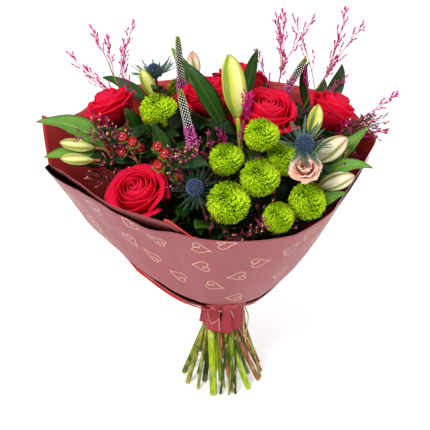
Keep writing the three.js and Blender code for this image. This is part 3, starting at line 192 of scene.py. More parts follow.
# Flowers: head centre, the way the head faces, radius, length, spin. A plant with several heads has a fork.
ROSES = [
    head((-90.6, -81.6, 288), (-0.25, -0.52, 0.82), 35, spin=0.4),
    head((-124, 6, 350), (-0.4, 0.05, 0.9), 32, spin=1.9),
    head((-18, 12, 361), (-0.12, 0, 0.99), 33, spin=3.1),
    head((46, -13, 348), (0.12, -0.35, 0.93), 37, spin=0.9),
    head((121, 12, 343), (0.5, 0.1, 0.86), 32, spin=2.4),
    head((18, 88, 348), (0.05, 0.5, 0.86), 34, spin=1.2),
]
POMPOMS = [
    {"fork": (6, -62, 246), "heads": [
        head((4, -118, 296), (-0.1, -0.8, 0.6), 22),
        head((2, -84, 329), (-0.1, -0.6, 0.8), 18),
        head((36, -106, 319), (0.05, -0.75, 0.66), 20),
    ]},
    {"fork": (46, -50, 252), "heads": [
        head((62, -77, 326), (0.2, -0.6, 0.77), 19),
        head((86, -102, 290), (0.3, -0.8, 0.52), 20),
        head((55, -122, 281), (0.1, -0.86, 0.5), 16),
        head((38, -82, 356), (0, -0.6, 0.8), 18),
    ]},
    {"fork": (-40, 10, 280), "heads": [
        head((-70, -32, 364), (-0.2, -0.3, 0.93), 20),
        head((-45, 74, 350), (-0.3, 0.5, 0.8), 20),
    ]},
]
LILIES = [
    {"fork": (20, -26, 300), "heads": [
        head((9, -35, 391), (-0.13, 0.14, 0.98), 13, 66),
        head((95, -44, 355), (0.2, 0.05, 0.98), 8, 36),
    ]},
    {"heads": [head((-84, 20, 372), (-0.4, 0, 0.92), 7.5, 36)]},
]
ALSTROEMERIAS = [
    {"fork": (-118, -42, 306), "heads": [
        head((-158, -50, 330), (-0.97, -0.1, 0.22), 6.5, 36),
        head((-158, -58, 317), (-0.98, -0.15, 0.14), 6, 34),
    ]},
    {"fork": (84, -52, 286), "heads": [
        head((112, -60, 330), (0.8, -0.02, 0.6), 11, 44),
        head((119, -76, 300), (0.9, -0.15, 0.4), 9, 40),
    ], "bloom": head((82, -104, 327), (-0.1, -0.6, 0.78), 13)},
    {"heads": [head((-34, 52, 384), (-0.1, 0.1, 0.99), 7, 30)]},
]
VERONICAS = [
    head((-49, 42, 382), (-0.06, 0.1, 0.99), 4.8, 74),
    head((-40, -56, 364), (-0.22, 0.4, 0.88), 5, 62),
    head((76, 34, 370), (0.5, 0.15, 0.85), 4.8, 60),
]
THISTLES = [
    head((81, -97, 353), (0.1, -0.6, 0.8), 9.5),
    head((-31, -103, 306), (-0.2, -0.75, 0.65), 9),
    head((-78, 40, 380), (-0.2, 0.1, 0.97), 9),
]


def spray_top(top, facing, seed=0):
    return {"top": top, "facing": facing, "seed": seed}


BERRY_SPRAYS = [
    spray_top((-66, -86, 328), (-0.1, -0.3, 0.95), 11),
    spray_top((-98, -60, 326), (-0.35, -0.3, 0.89), 23),
]
GRASSES = [
    spray_top((64, 26, 402), (0.05, 0, 1), 31),
    spray_top((120, 40, 392), (0.3, 0.1, 0.95), 37),
    spray_top((-128, 42, 388), (-0.3, 0.1, 0.95), 41),
    spray_top((20, -60, 362), (0.1, -0.4, 0.9), 43),
    spray_top((150, -10, 344), (0.85, -0.1, 0.5), 47),
]
FLORET_SPRAYS = [
    spray_top((-34, -88, 330), (-0.2, -0.5, 0.84), 53),
    spray_top((-128, -40, 336), (-0.5, -0.3, 0.8), 59),
    spray_top((136, -20, 336), (0.6, -0.2, 0.77), 61),
    spray_top((34, -112, 262), (0.1, -0.7, 0.7), 67),
]
FOLIAGE = [
    spray_top((-96, -22, 326), (-0.3, -0.2, 0.93)),
    spray_top((104, 44, 334), (0.4, 0.3, 0.87)),
    spray_top((90, -84, 256), (0.5, -0.6, 0.62)),
]
STEM_RADIUS = {
    "rose": 3.2, "pompom": 2.6, "lily": 4.2, "alstroemeria": 2.8, "veronica": 1.8, "thistle": 2.3,
    "hypericum": 2.3, "grass": 1.4, "floret": 1.7, "foliage": 2.4,
}
FUSED_HEADS = ("alstroemeria", "veronica", "thistle")
HEAD_CENTRE = {"rose": 0.75, "pompom": 0.46, "bud": 0.5, "spike": 0.5, "thistle": 0.9, "peach": 0.7}
SPRAYS = {
    "grass": {"twigs": 5, "depth": 70, "spread": 0.6, "length": 44, "bud": 1.2, "buds": 2},
    "floret": {"twigs": 6, "depth": 60, "spread": 1, "length": 34, "bud": 1.7, "buds": 2},
}

# Leaves: plant, height on its stem, control point of the midrib, tip, width, share that is stalk
LEAVES = [
    ("alstroemeria_1", 288, (-134, -20, 352), (-197, -20, 354), 27, 0.3),
    ("alstroemeria_1", 276, (-146, -46, 326), (-196, -60, 306), 22, 0.3),
    ("lily_1", 290, (4, -62, 392), (-49, -45, 406), 21, 0.2),
    ("lily_1", 270, (22, 22, 370), (36, 14, 414), 14, 0.4),
    ("alstroemeria_2", 268, (126, -44, 318), (154, -38, 346), 17, 0.25),
    ("alstroemeria_2", 256, (118, -78, 334), (158, -62, 308), 18, 0.3),
    ("foliage_2", 318, (100, 40, 374), (128, 34, 384), 9, 0.1),
    ("foliage_2", 300, (134, 58, 344), (134, 66, 378), 20, 0.1),
    ("foliage_2", 270, (120, 70, 320), (126, 88, 350), 22, 0.15),
    ("foliage_3", 230, (108, -80, 272), (128, -78, 280), 24, 0.15),
    ("foliage_3", 214, (46, -100, 244), (34, -124, 256), 22, 0.25),
    ("foliage_3", 196, (8, -106, 262), (8, -124, 266), 22, 0.3),
    ("hypericum_1", 290, (-58, -62, 336), (-66, -64, 364), 20, 0.1),
    ("foliage_1", 306, (-96, -36, 352), (-106, -32, 364), 20, 0.1),
    ("foliage_1", 280, (-128, -62, 318), (-140, -80, 306), 20, 0.15),
    ("foliage_1", 296, (-118, -50, 330), (-120, -64, 344), 16, 0.15),
    ("rose_1", 220, (-60, -80, 262), (-52, -116, 272), 22, 0.3),
    ("rose_2", 270, (-140, 40, 306), (-152, 66, 330), 24, 0.25),
    ("rose_3", 290, (-30, -40, 330), (-50, -70, 334), 22, 0.25),
    ("rose_5", 270, (140, 20, 300), (152, 38, 326), 22, 0.25),
    ("rose_6", 280, (30, 110, 310), (52, 122, 340), 24, 0.25),
    ("rose_6", 268, (-10, 112, 306), (-26, 124, 340), 24, 0.25),
    ("pompom_1", 214, (-20, -90, 262), (-30, -122, 268), 24, 0.2),
    ("pompom_3", 262, (-80, 80, 312), (-96, 104, 338), 26, 0.2),
    ("alstroemeria_3", 330, (-60, 60, 366), (-84, 78, 372), 15, 0.1),
    ("lily_2", 330, (-110, 60, 362), (-140, 76, 358), 16, 0.15),
    ("lily_2", 352, (-92, -14, 384), (-118, -38, 382), 14, 0.15),
]
# Leaves that lie over the wrap's rim: start, bend, tip, width, share of stalk
MORE_LEAVES = {"alstroemeria_2": [((70, -80, 258), (102, -91, 287), (128, -85, 291), 17, 0.1)]}

# Looks of leaves and stems
LEAF_KINDS = {"alstroemeria": "strap", "pompom": "middle", "veronica": "middle", "thistle": "grey_leaf"}
STEM_KINDS = {
    "rose": "stem_dark", "pompom": "stem_green", "lily": "stem_lime", "alstroemeria": "stem_olive",
    "veronica": "stem_green", "thistle": "stem_brown", "hypericum": "stem_brown", "grass": "stem_olive",
    "floret": "stem_green", "foliage": "stem_green",
}
# Stems that look unlike others of their kind
STEMS_APART = {
    "rose_1": "stem_lime", "rose_2": "stem_lime", "rose_6": "stem_green", "alstroemeria_1": "stem_brown",
    "veronica_1": "stem_olive", "floret_2": "stem_lime", "pompom_3": "stem_lime", "hypericum_1": "stem_green",
    "foliage_1": "stem_green",
}
# Radius of a stem's end below its bloom
FLARES = {"rose": 5.6, "pompom": 5.5, "lily": 4.4, "bud": 2.2, "peach": 2.6}
# Width of the small leaves that fill the bouquet, by the kind of plant that carries them
FILL_KINDS = {
    "rose": 24, "pompom": 20, "lily": 17, "alstroemeria": 15, "hypericum": 20, "foliage": 24, "floret": 12,
}
# How strong the blush of alstroemeria buds is
BUD_BLUSH = {"alstroemeria_1": 0.1, "alstroemeria_2": 0.35, "alstroemeria_3": 0.8}
# Leaves: name, dark tone, light tone, veins, veins on each side, roughness
LEAF_LOOKS = {
    "strap": ("strap_leaf", "#2e6a12", "#74aa38", "#b4d878", 7, 0.42),
    "middle": ("mid_leaf", "#20500e", "#4a8422", "#78a840", 5, 0.42),
    "dark": ("dark_leaf", "#0b2604", "#224e0b", "#558a34", 6, 0.3),
    # deep: a dark green for the leaves that fill the bouquet, darkened further as painted shade inside the
    # bouquet.
    "deep": ("deep_leaf", "#051404", "#173c0e", "#2a5a1c", 6, 0.4),
    "grey_leaf": ("grey_leaf", "#2c4c3c", "#587c68", "#9cb8a0", 3, 0.5),
    # The next is a darker copy of grey_leaf: painted shade for one thistle's bracts.
    "dusk_leaf": ("dusk_leaf", "#14261c", "#304a3a", "#547060", 3, 0.5),
}
# Stems: name, dark tone, light tone, scars
STEM_LOOKS = {
    "stem_green": ("stem_green", "#44600a", "#90a828", "#4c4c1c"),
    "twig": ("spray_twig", "#38401c", "#5c6428", "#6c2c40"),
    "stem_lime": ("stem_lime", "#84a000", "#bcd424", "#d8e088"),
    "stem_dark": ("stem_dark", "#12260a", "#3a5a20", "#342812"),
    "stem_olive": ("stem_olive", "#5a6418", "#b4b444", "#4c2814"),
    "stem_brown": ("stem_brown", "#743420", "#b47450", "#747c2c"),
}
# Buds: name, pale grooves, body, ribs, roughness, blush
BUD_LOOKS = {
    "lily": ("lily_bud", "#f2ee98", "#c8cc28", "#6c8c14", 0.35, 0.0),
    "green_bud": ("green_bud", "#e8e4a0", "#c8c860", "#7a9424", 0.45, 0.6),
    "alstroemeria": ("alstroemeria_bud", "#fff8dc", "#f0e4a4", "#667c18", 0.45, 0.9),
}
# Extra twigs of a spray: how many, how deep they start, how far they lean, how long they are
MORE_TWIGS = {"floret": (18, 110, 1.25, 40), "grass": (2, 60, 0.8, 52)}
FEWER_TWIGS = {"floret_4": 6}

UP = np.array([0.0, 0.0, 1.0])
CAMERA_WAY = np.array([0, -0.88, 0.47])  # from the bouquet towards the camera
LEAF_FACING = np.array([0, -0.45, 1.0])
GOLDEN = math.pi * (3 - math.sqrt(5))
RNG = np.random.default_rng(SEEDS["leaf"])
LOOKS = {}
POMPOM_NUMBERS = itertools.count(1)
BUD_NUMBERS = itertools.count(1)


def vec(values):
    return np.array(values, float)


def unit(values):
    values = np.asarray(values, float)
    return values / np.linalg.norm(values)


def units(rows):
    """Each row of directions at length 1."""
    return rows / np.linalg.norm(rows, axis=-1, keepdims=True)


def around(azimuth, radius, height):
    """Points at azimuths round the tie or round a bloom's axis."""
    return np.stack([radius * np.cos(azimuth), radius * np.sin(azimuth), height + 0 * azimuth], -1)


def outwards(azimuth, rise=0):
    """One direction at an azimuth, with a rise."""
    return vec((math.cos(azimuth), math.sin(azimuth), rise))


def random_from(seed):
    """Repeatable random numbers from 0 to 1."""
    state = [seed]

    def draw():
        state[0] = state[0] * 16807 % 2147483647
        return state[0] / 2147483647

    return draw


def about(axis, angle):
    """Matrix that turns by an angle about an axis."""
    x, y, z = axis
    cross = np.array([[0, -z, y], [z, 0, -x], [-y, x, 0]])
    return np.eye(3) + math.sin(angle) * cross + (1 - math.cos(angle)) * cross @ cross


def turn_to(facing, spin=0.0):
    """Matrix that turns +Z to face along facing, after a spin about +Z."""
    axis = np.cross(UP, facing)
    length = np.linalg.norm(axis)
    turn = np.eye(3) if length < 1e-9 else about(axis / length, math.atan2(length, facing[2]))
    return turn @ about(UP, spin)


# Paper bowl


def read_rim(rim, azimuth):
    """Radius and height of a rim at azimuths in radians."""
    rim = np.array(rim, float)
    degrees = np.degrees(azimuth) % 360
    return np.interp(degrees, rim[:, 0], rim[:, 1]), np.interp(degrees, rim[:, 0], rim[:, 2])


class Bowl:
    neck = 0.0


def bowl_radius(azimuth, height):
    """Radius of the inner sheet: it leaves the collar nearly level and steepens, more so on the left."""
    rim_radius, rim_height = read_rim(INNER_RIM, azimuth)
    share = np.maximum(0, (height - BOWL_BOTTOM) / (rim_height - BOWL_BOTTOM))
    return Bowl.neck + (rim_radius - Bowl.neck) * share ** (BOWL_POWER + BOWL_SKEW * np.cos(azimuth))


def bowl_clearance(points):
    azimuth = np.arctan2(points[:, 1], points[:, 0])
    over_rim = points[:, 2] - read_rim(INNER_RIM, azimuth)[1] - 3
    inside = bowl_radius(azimuth, points[:, 2]) - np.hypot(points[:, 0], points[:, 1]) - 1
    return np.maximum(over_rim, 0.8 * inside)


def keep_in_bowl(points, free):
    reach = np.hypot(points[:, 0], points[:, 1])
    limit = bowl_radius(np.arctan2(points[:, 1], points[:, 0]), points[:, 2]) - 9
    out = free & (points[:, 2] < 290) & (reach > limit) & (limit > 0)
    points[out, :2] *= (limit[out] / reach[out])[:, None]


# Stems: packing at the tie, and paths from there to the blooms


def spiral(place, drop):
    """Place of a stem at a drop below the tie, on its straight, spiralled stretch."""
    travel = SPIRAL_RATE * drop
    return vec((place[0] - travel * place[1], place[1] + travel * place[0], TIE_HEIGHT - drop))


def pack_at_tie(plants):
    """Stems pressed together at the tie, until each lies against its neighbours."""
    goals = np.array([it["goal"] for it in plants])
    radii = np.array([it["radius"] for it in plants])
    turn = np.arctan2(goals[:, 1], goals[:, 0]) + TIE_TURN
    reach = 0.12 * np.hypot(goals[:, 0], goals[:, 1]) * 3 / radii
    places = np.stack([reach * np.cos(turn), reach * np.sin(turn)], 1)
    need = radii[:, None] + radii[None] + STEM_GAP
    apart_from_self = ~np.eye(len(places), dtype=bool)
    for step in range(PACK_ROUNDS):
        pull = max(0.005, 0.05 * (1 - 1.1 * step / PACK_ROUNDS))
        moves = -places * (pull * (np.linalg.norm(places, axis=1) / 20) ** 2)[:, None]
        between = places[None] - places[:, None]
        middle = 0.5 * (places[None] + places[:, None])
        lean = SPIRAL_RATE * (middle[..., 0] * between[..., 1] - middle[..., 1] * between[..., 0])
        slope = 1 + SPIRAL_RATE**2 * (middle**2).sum(-1)
        clear = np.sqrt(np.maximum((between**2).sum(-1) - lean**2 / slope, 1e-6))
        short = need - clear
        push = np.where((short > 0) & apart_from_self, 0.45 * short / np.maximum(clear, 1e-3), 0)
        moves -= (between * push[..., None]).sum(1)
        places = places + moves
    return places


def first_path(place, end, facing):
    """First path of a stem: straight through the tie, then a curve into the line of its bloom."""
    start = spiral(place, 0)
    neck = end - NECK_LENGTH * facing
    length = np.linalg.norm(neck - start)
    rise = unit(start - spiral(place, 1))
    controls = [start, start + 0.4 * length * rise, neck - 0.35 * length * facing, neck]
    steps = max(2, int(length / LEVEL_STEP + 0.5))
    points = [spiral(place, TIE_HEIGHT), start]
    for i in range(1, steps + 1):
        t = i / steps
        weights = [(1 - t) ** 3, 3 * t * (1 - t) ** 2, 3 * t**2 * (1 - t), t**3]
        points.append(sum(w * c for w, c in zip(weights, controls)))
    points.append(end)
    return np.array(points)


def branch_path(start, end, facing):
    neck = end - NECK_LENGTH * facing
    middle = 0.5 * (start + neck) - 0.12 * np.linalg.norm(start - neck) * facing
    return np.array([start, middle, neck, end])


def nearest_shares(a, u, c, v):
    """Nearest points of straight pieces, as shares along each."""
    w = a - c
    uu = (u * u).sum(1) + 1e-9
    vv = (v * v).sum(1) + 1e-9
    uv = (u * v).sum(1)
    uw = (u * w).sum(1)
    vw = (v * w).sum(1)
    s = np.clip((uv * vw - vv * uw) / (uu * vv - uv * uv + 1e-9), 0, 1)
    t = np.clip((uv * s + vw) / vv, 0, 1)
    s = np.clip((uv * t - uw) / uu, 0, 1)
    return s, t


def bend_clear(paths, bulks):
    """Paths are bent until every stem, branch and bloom is clear of the others."""
    points, free, rods, middles = [], [], [], []
    for path in paths:
        first = len(points)
        count = len(path["points"])
        points.extend(path["points"])
        free.extend(path["first_free"] <= i < count - 2 for i in range(count))
        middles.extend(first + i for i in range(path["first_free"], count - 2))
        for i in range(path["first_rod"], count - 1):
            rods.append((first + i, first + i + 1, path["radius"], path["owner"], 1))
    for bulk in bulks:
        first = len(points)
        points.extend([bulk["a"], bulk["b"]])
        free.extend([False, False])
        rods.append((first, first + 1, bulk["radius"], bulk["owner"], 0))
    points = np.array(points, float)
    free = np.array(free)
    middles = np.array(middles)
    starts, ends, radii, owners, flexible = (np.array(column) for column in zip(*rods))
    one, two = np.triu_indices(len(rods), 1)
    tested = (owners[one] != owners[two]) & ((flexible[one] + flexible[two]) > 0)
    one, two = one[tested], two[tested]
    need = radii[one] + radii[two] + BEND_MARGIN
    for step in range(BEND_ROUNDS):
        a, c = points[starts[one]], points[starts[two]]
        near = np.abs(a[:, 2] - c[:, 2]) <= 90 + need
        i, j, want = one[near], two[near], need[near]
        a, c = a[near], c[near]
        u = points[ends[i]] - a
        v = points[ends[j]] - c
        s, t = nearest_shares(a, u, c, v)
        between = (c + v * t[:, None]) - (a + u * s[:, None])
        apart = np.linalg.norm(between, axis=1)
        close = apart < want
        i, j, s, t = i[close], j[close], s[close, None], t[close, None]
        shift = between[close] * (0.35 * (want - apart) / np.maximum(apart, 0.01))[close, None]
        moves = np.zeros_like(points)
        for rod, share, way in ((j, t, shift), (i, s, -shift)):
            way = way * flexible[rod][:, None]
            np.add.at(moves, starts[rod], way * (1 - share))
            np.add.at(moves, ends[rod], way * share)
        if step < SMOOTH_ROUNDS:
            level = 0.5 * (points[middles - 1] + points[middles + 1]) - points[middles]
            moves[middles] += 0.08 * level
        moves[~free] = 0
        length = np.linalg.norm(moves, axis=1)
        moves *= np.minimum(1, 4 / np.maximum(length, 1e-12))[:, None]
        points += moves
        keep_in_bowl(points, free)
    done = 0
    for path in paths:
        path["points"] = points[done:done + len(path["points"])]
        done += len(path["points"])


# Clearance of leaves and twigs from everything placed before them


class Room:
    """Rods and balls that are in the way, with the plant or bloom that owns each."""

    def __init__(self):
        self.rods = np.zeros((ROOM_SIZE, 7))
        self.owners = np.zeros(ROOM_SIZE, int)
        self.names = {}
        self.count = 0

    def number(self, owner):
        return self.names.setdefault(owner, len(self.names))

    def add(self, starts, ends, radius, owner):
        starts = np.atleast_2d(starts)
        rows = slice(self.count, self.count + len(starts))
        self.rods[rows, :3] = starts
        self.rods[rows, 3:6] = np.atleast_2d(ends) - starts
        self.rods[rows, 6] = radius
        self.owners[rows] = self.number(owner)
        self.count += len(starts)

    def clearance(self, samples, owner, radius):
        centre = 0.5 * (samples.min(0) + samples.max(0))
        reach = np.linalg.norm(samples - centre, axis=1).max()
        rods = self.rods[:self.count]
        lengths = np.linalg.norm(rods[:, 3:6], axis=1)
        apart = np.linalg.norm(rods[:, :3] - centre, axis=1)
        near = (self.owners[:self.count] != self.number(owner)) & (apart < reach + lengths + rods[:, 6] + 12)
        least = (bowl_clearance(samples) - radius).min()
        if near.any():
            starts, along, radii = rods[near, :3], rods[near, 3:6], rods[near, 6]
            offset = samples[:, None] - starts[None]
            share = (offset * along[None]).sum(-1) / np.maximum(lengths[near] ** 2, 1e-12)
            apart = np.linalg.norm(offset - along[None] * np.clip(share, 0, 1)[..., None], axis=-1)
            least = min(least, (apart - radii[None]).min() - radius)
        return least


room = Room()


def settle(reach, make, owner, radius):
    """The first of several turns of a leaf or twig that clears everything, or the best of them."""
    best = None
    side = unit(np.cross(reach, UP))
    for lift in (0, 8, -8, 16, 26, -16):
        for turn in (0, 8, -8, 16, -16, 26, -26, 38, -38):
            swing = about(UP, math.radians(turn)) @ about(side, math.radians(lift))
            made = make(swing)
            clear = room.clearance(made["samples"], owner, radius)
            if best is None or clear > best["room"]:
                best = {"room": clear, **made}
            if clear > 0:
                return best
    return best


def midrib(start, bend, tip, share):
    t = np.asarray(share, float)[..., None]
    return (1 - t) ** 2 * start + 2 * (1 - t) * t * bend + t**2 * tip


def midrib_frame(start, bend, tip, shares, facing):
    """Points along a midrib, and the directions across it and up from it."""
    centre = midrib(start, bend, tip, shares)
    ahead = midrib(start, bend, tip, np.minimum(shares + 1e-4, 1))
    behind = midrib(start, bend, tip, np.maximum(shares - 1e-4, 0))
    along = units(ahead - behind)
    side = units(np.cross(along, facing))
    return centre, side, units(np.cross(side, along))


def leaf_shape(start, bend, tip, width, stalk, rows, facing, least, taper):
    """Rows along a leaf: their shares, centres, directions across and up, and half widths."""
    shares = np.arange(rows + 1) / rows
    centre, side, up = midrib_frame(start, bend, tip, shares, facing)
    belly = np.maximum(0, (shares - stalk) / (1 - stalk))
    half = least + width / 2 * np.maximum(np.sin(np.pi * belly**0.85), 0) ** taper
    return shares, centre, side, up, half


def leaf_grid(start, bend, tip, width, stalk, rows=4, facing=LEAF_FACING):
    """A leaf's coarse grid: three points across each row, as its solid has."""
    shares, centre, side, up, half = leaf_shape(start, bend, tip, width, stalk, rows, facing, 0.8, 0.85)
    ripple = 0.16 * half * np.sin(shares * 11 + width)
    rows_of = [
        centre + side * (across * half)[:, None] + up * (0.22 * half * abs(across) + ripple * across)[:, None]
        for across in (-1, 0, 1)
    ]
    return np.stack(rows_of, 1)


def grid_samples(grid):
    v = (np.arange(4) / 3)[:, None]
    u = (np.arange(6) / 6)[:, None, None]
    samples = []
    for i in range(len(grid) - 1):
        for j in range(len(grid[0]) - 1):
            near = grid[i, j] * (1 - v) + grid[i, j + 1] * v
            far = grid[i + 1, j] * (1 - v) + grid[i + 1, j + 1] * v
            samples.append((near[None] * (1 - u) + far[None] * u).reshape(-1, 3))
    return np.concatenate(samples)


def point_at_height(points, height):
    for low, high in zip(points[:-1], points[1:]):
        if high[2] >= height > low[2]:
            return low + (high - low) * (height - low[2]) / (high[2] - low[2])
    return points[-2].copy()


def point_below_top(points, depth):
    left = depth
    for i in range(len(points) - 1, 0, -1):
        step = np.linalg.norm(points[i] - points[i - 1])
        if left <= step:
            return points[i] + (points[i - 1] - points[i]) * left / step
        left -= step
    return points[0].copy()


def placed_leaf(it, height, bend, tip, width, stalk):
    """A leaf of a plant, turned clear of what is there before it."""
    start = point_at_height(it["path"]["points"], height)
    bend, tip = vec(bend), vec(tip)

    def make(swing):
        leaf = (start, start + swing @ (bend - start), start + swing @ (tip - start))
        samples = grid_samples(leaf_grid(*leaf, width, stalk))
        return {"leaf": (*leaf, width, stalk), "samples": samples}

    best = settle(tip - start, make, it["name"], LEAF_MARGIN)
    room.add(best["samples"], best["samples"], 1.2, it["name"])
    return best["leaf"]


# Plants: what each carries, and the obstacles that its blooms make


def head_base(shape, bloom):
    along = bloom["length"] if shape in ("bud", "spike") else bloom["size"]
    return vec(bloom["head"]) - HEAD_CENTRE[shape] * along * unit(bloom["facing"])


def head_bulk(shape, bloom):
    """Balls and rods that fill a bloom, for keeping stems and leaves out of it."""
    base = head_base(shape, bloom)
    facing = unit(bloom["facing"])
    turn = turn_to(facing)
    size, length = bloom["size"], bloom["length"]

    def rod(low, high, radius):
        return {"a": base + low * facing, "b": base + high * facing, "radius": radius}

    def ring(reach, height, radius):
        for k in range(6):
            azimuth = k * math.pi / 3
            centre = base + turn @ vec((reach * math.cos(azimuth), reach * math.sin(azimuth), height))
            yield {"a": centre, "b": centre, "radius": radius}

    if shape in ("rose", "peach"):
        return [rod(0.6 * size, 0.7 * size, 0.62 * size), *ring(0.52 * size, 0.98 * size, 0.5 * size)]
    if shape == "pompom":
        return [rod(0.5 * size, 0.5 * size, 0.52 * size), *ring(0.6 * size, 0.46 * size, 0.46 * size)]
    if shape == "bud":
        return [rod(0.25 * length, length - 0.8 * size, 1.05 * size)]
    if shape == "spike":
        return [rod(size, length, 1.1 * size)]
    return [rod(size, size, 1.1 * size)]


def plants_of(kind, shape, table):
    plants = []
    for i, options in enumerate(table):
        heads = options.get("heads", [] if "top" in options else [options])
        plant = {**options, "name": f"{kind}_{i + 1}", "kind": kind, "shape": shape, "heads": heads}
        plant["radius"] = STEM_RADIUS[kind]
        plants.append(plant)
    return plants


def aim(it):
    """Where a stem goes: its only bloom, the fork below its blooms, or the top of its spray."""
    if "top" in it:
        it["goal"], it["facing"] = vec(it["top"]), unit(it["facing"])
    elif "fork" in it:
        it["goal"] = vec(it["fork"])
        it["facing"] = unit(it["goal"] - vec((0, 0, TIE_HEIGHT - 60)))
    else:
        it["facing"] = unit(it["heads"][0]["facing"])
        it["goal"] = head_base(it["shape"], it["heads"][0]) - HEAD_GAP * it["facing"]
    it["carried"] = [(it["shape"], bloom) for bloom in it["heads"]]
    if "bloom" in it:
        it["carried"].append(("peach", it["bloom"]))


def route(it, place):
    """First paths of a plant's stem and of its branches above the fork."""

    def path(points, radius, first):
        own = {"owner": it["name"], "first_rod": first, "first_free": first + 1}
        return {"points": points, "radius": radius, **own}

    it["place"] = place
    it["path"] = path(first_path(place, it["goal"], it["facing"]), it["radius"], 1)
    it["branches"] = []
    for shape, bloom in it["carried"] if "fork" in it else []:
        facing = unit(bloom["facing"])
        end = head_base(shape, bloom) - HEAD_GAP * facing
        points = branch_path(it["goal"] - 3 * it["facing"], end, facing)
        it["branches"].append(path(points, 0.62 * it["radius"], 0))


def bud_twig(start, direction, length, buds, random):
    """Points along a swaying twig, at each bud and between buds."""
    points = [start]
    side = unit(np.cross(direction, vec((0.3, 0.2, 1))))
    steps = 2 * buds
    for k in range(1, steps + 1):
        share = 0.3 + 0.7 * k / steps
        sway = (1 if k % 4 < 2 else -1) * 0.02 * length * random()
        points.append(start + length * share * direction + sway * side + 0.06 * length * share * share * UP)
    return np.array(points)


def leaning(azimuth, lean, turn):
    """The direction at an azimuth that leans away from the one that turn faces."""
    sine = math.sin(lean)
    return turn @ vec((sine * math.cos(azimuth), sine * math.sin(azimuth), math.cos(lean)))


def spray_twigs(it):
    """Main twigs of a spray, each clear of what was there before it."""
    options = SPRAYS[it["kind"]]
    random = random_from(it["seed"])
    turn = turn_to(it["facing"])
    twigs = []
    for k in range(options["twigs"]):
        share = k / (options["twigs"] - 1)
        start = point_below_top(it["path"]["points"], options["depth"] * (1 - share))
        azimuth = k * 2.4 + random()
        lean = options["spread"] * (1 - 0.75 * share) * (0.75 + 0.5 * random())
        direction = leaning(azimuth, lean, turn)
        length = options["length"] * (0.7 + 0.5 * random())
        seed = it["seed"] * 100 + k

        def make(swing):
            points = bud_twig(start, swing @ direction, length, options["buds"], random_from(seed))
            quarters = [points[:-1] + s * (points[1:] - points[:-1]) for s in (0.25, 0.5, 0.75, 1)]
            samples = np.stack(quarters, 1).reshape(-1, 3)
            return {"points": points, "samples": samples}

        best = settle(length * direction, make, it["name"], options["bud"] + 1)
        if best["room"] > 0:
            points = best["points"]
            room.add(points[:-1], points[1:], options["bud"], it["name"])
            twigs.append(points)
    return twigs


def berry_places(it):
    random = random_from(it["seed"])
    turn = turn_to(it["facing"])
    berries = []
    for k in range(7):
        share = k / 6
        start = point_below_top(it["path"]["points"], 44 * (1 - share))
        azimuth = k * 2.4 + 0.6 * random()
        direction = leaning(azimuth, 1.15 * (1 - 0.85 * share), turn)
        length = 15 + 7 * random()

        def make(swing):
            centre = start + length * (swing @ direction)
            return {"centre": centre, "samples": np.array([centre, centre + 0.4 * (start - centre)])}

        best = settle(length * direction, make, it["name"], BERRY_RADIUS + 0.8)
        if best["room"] > 0:
            room.add(best["centre"], best["centre"], BERRY_RADIUS, it["name"])
            berries.append((start, best["centre"]))
    return berries


def foliage_leaves(it):
    turn = turn_to(it["facing"])
    leaves = []
    for k in range(2):
        start = point_below_top(it["path"]["points"], 8 + 26 * k)
        out = turn @ unit(outwards(k * 2.2 + it["place"][0], 1.1))
        leaves.append(placed_leaf(it, start[2], start + 22 * out, start + 36 * out - 3 * UP, 20, 0.05))
    return leaves


def bract_places(it):
    """Spiny bracts in a star under a thistle head."""
    bloom = it["heads"][0]
    facing, size = it["facing"], bloom["size"]
    turn = turn_to(facing)
    start = head_base("thistle", bloom) + 1.5 * facing
    bracts = []
    for k in range(6):
        tip = start + 3.1 * size * (turn @ unit(outwards(2 * math.pi * k / 6, 0.3)))

        def make(swing):
            reach = swing @ (tip - start)
            blade = (start, start + 0.5 * reach - 1.5 * facing, start + reach)
            grid = leaf_grid(*blade, 0.75 * size, 0, 2, facing)
            return {"blade": blade, "samples": grid_samples(grid)}

        best = settle(tip - start, make, it["name"], 1.2)
        if best["room"] > 0:
            room.add(best["samples"], best["samples"], 1, it["name"])
            bracts.append(best["blade"])
    return bracts


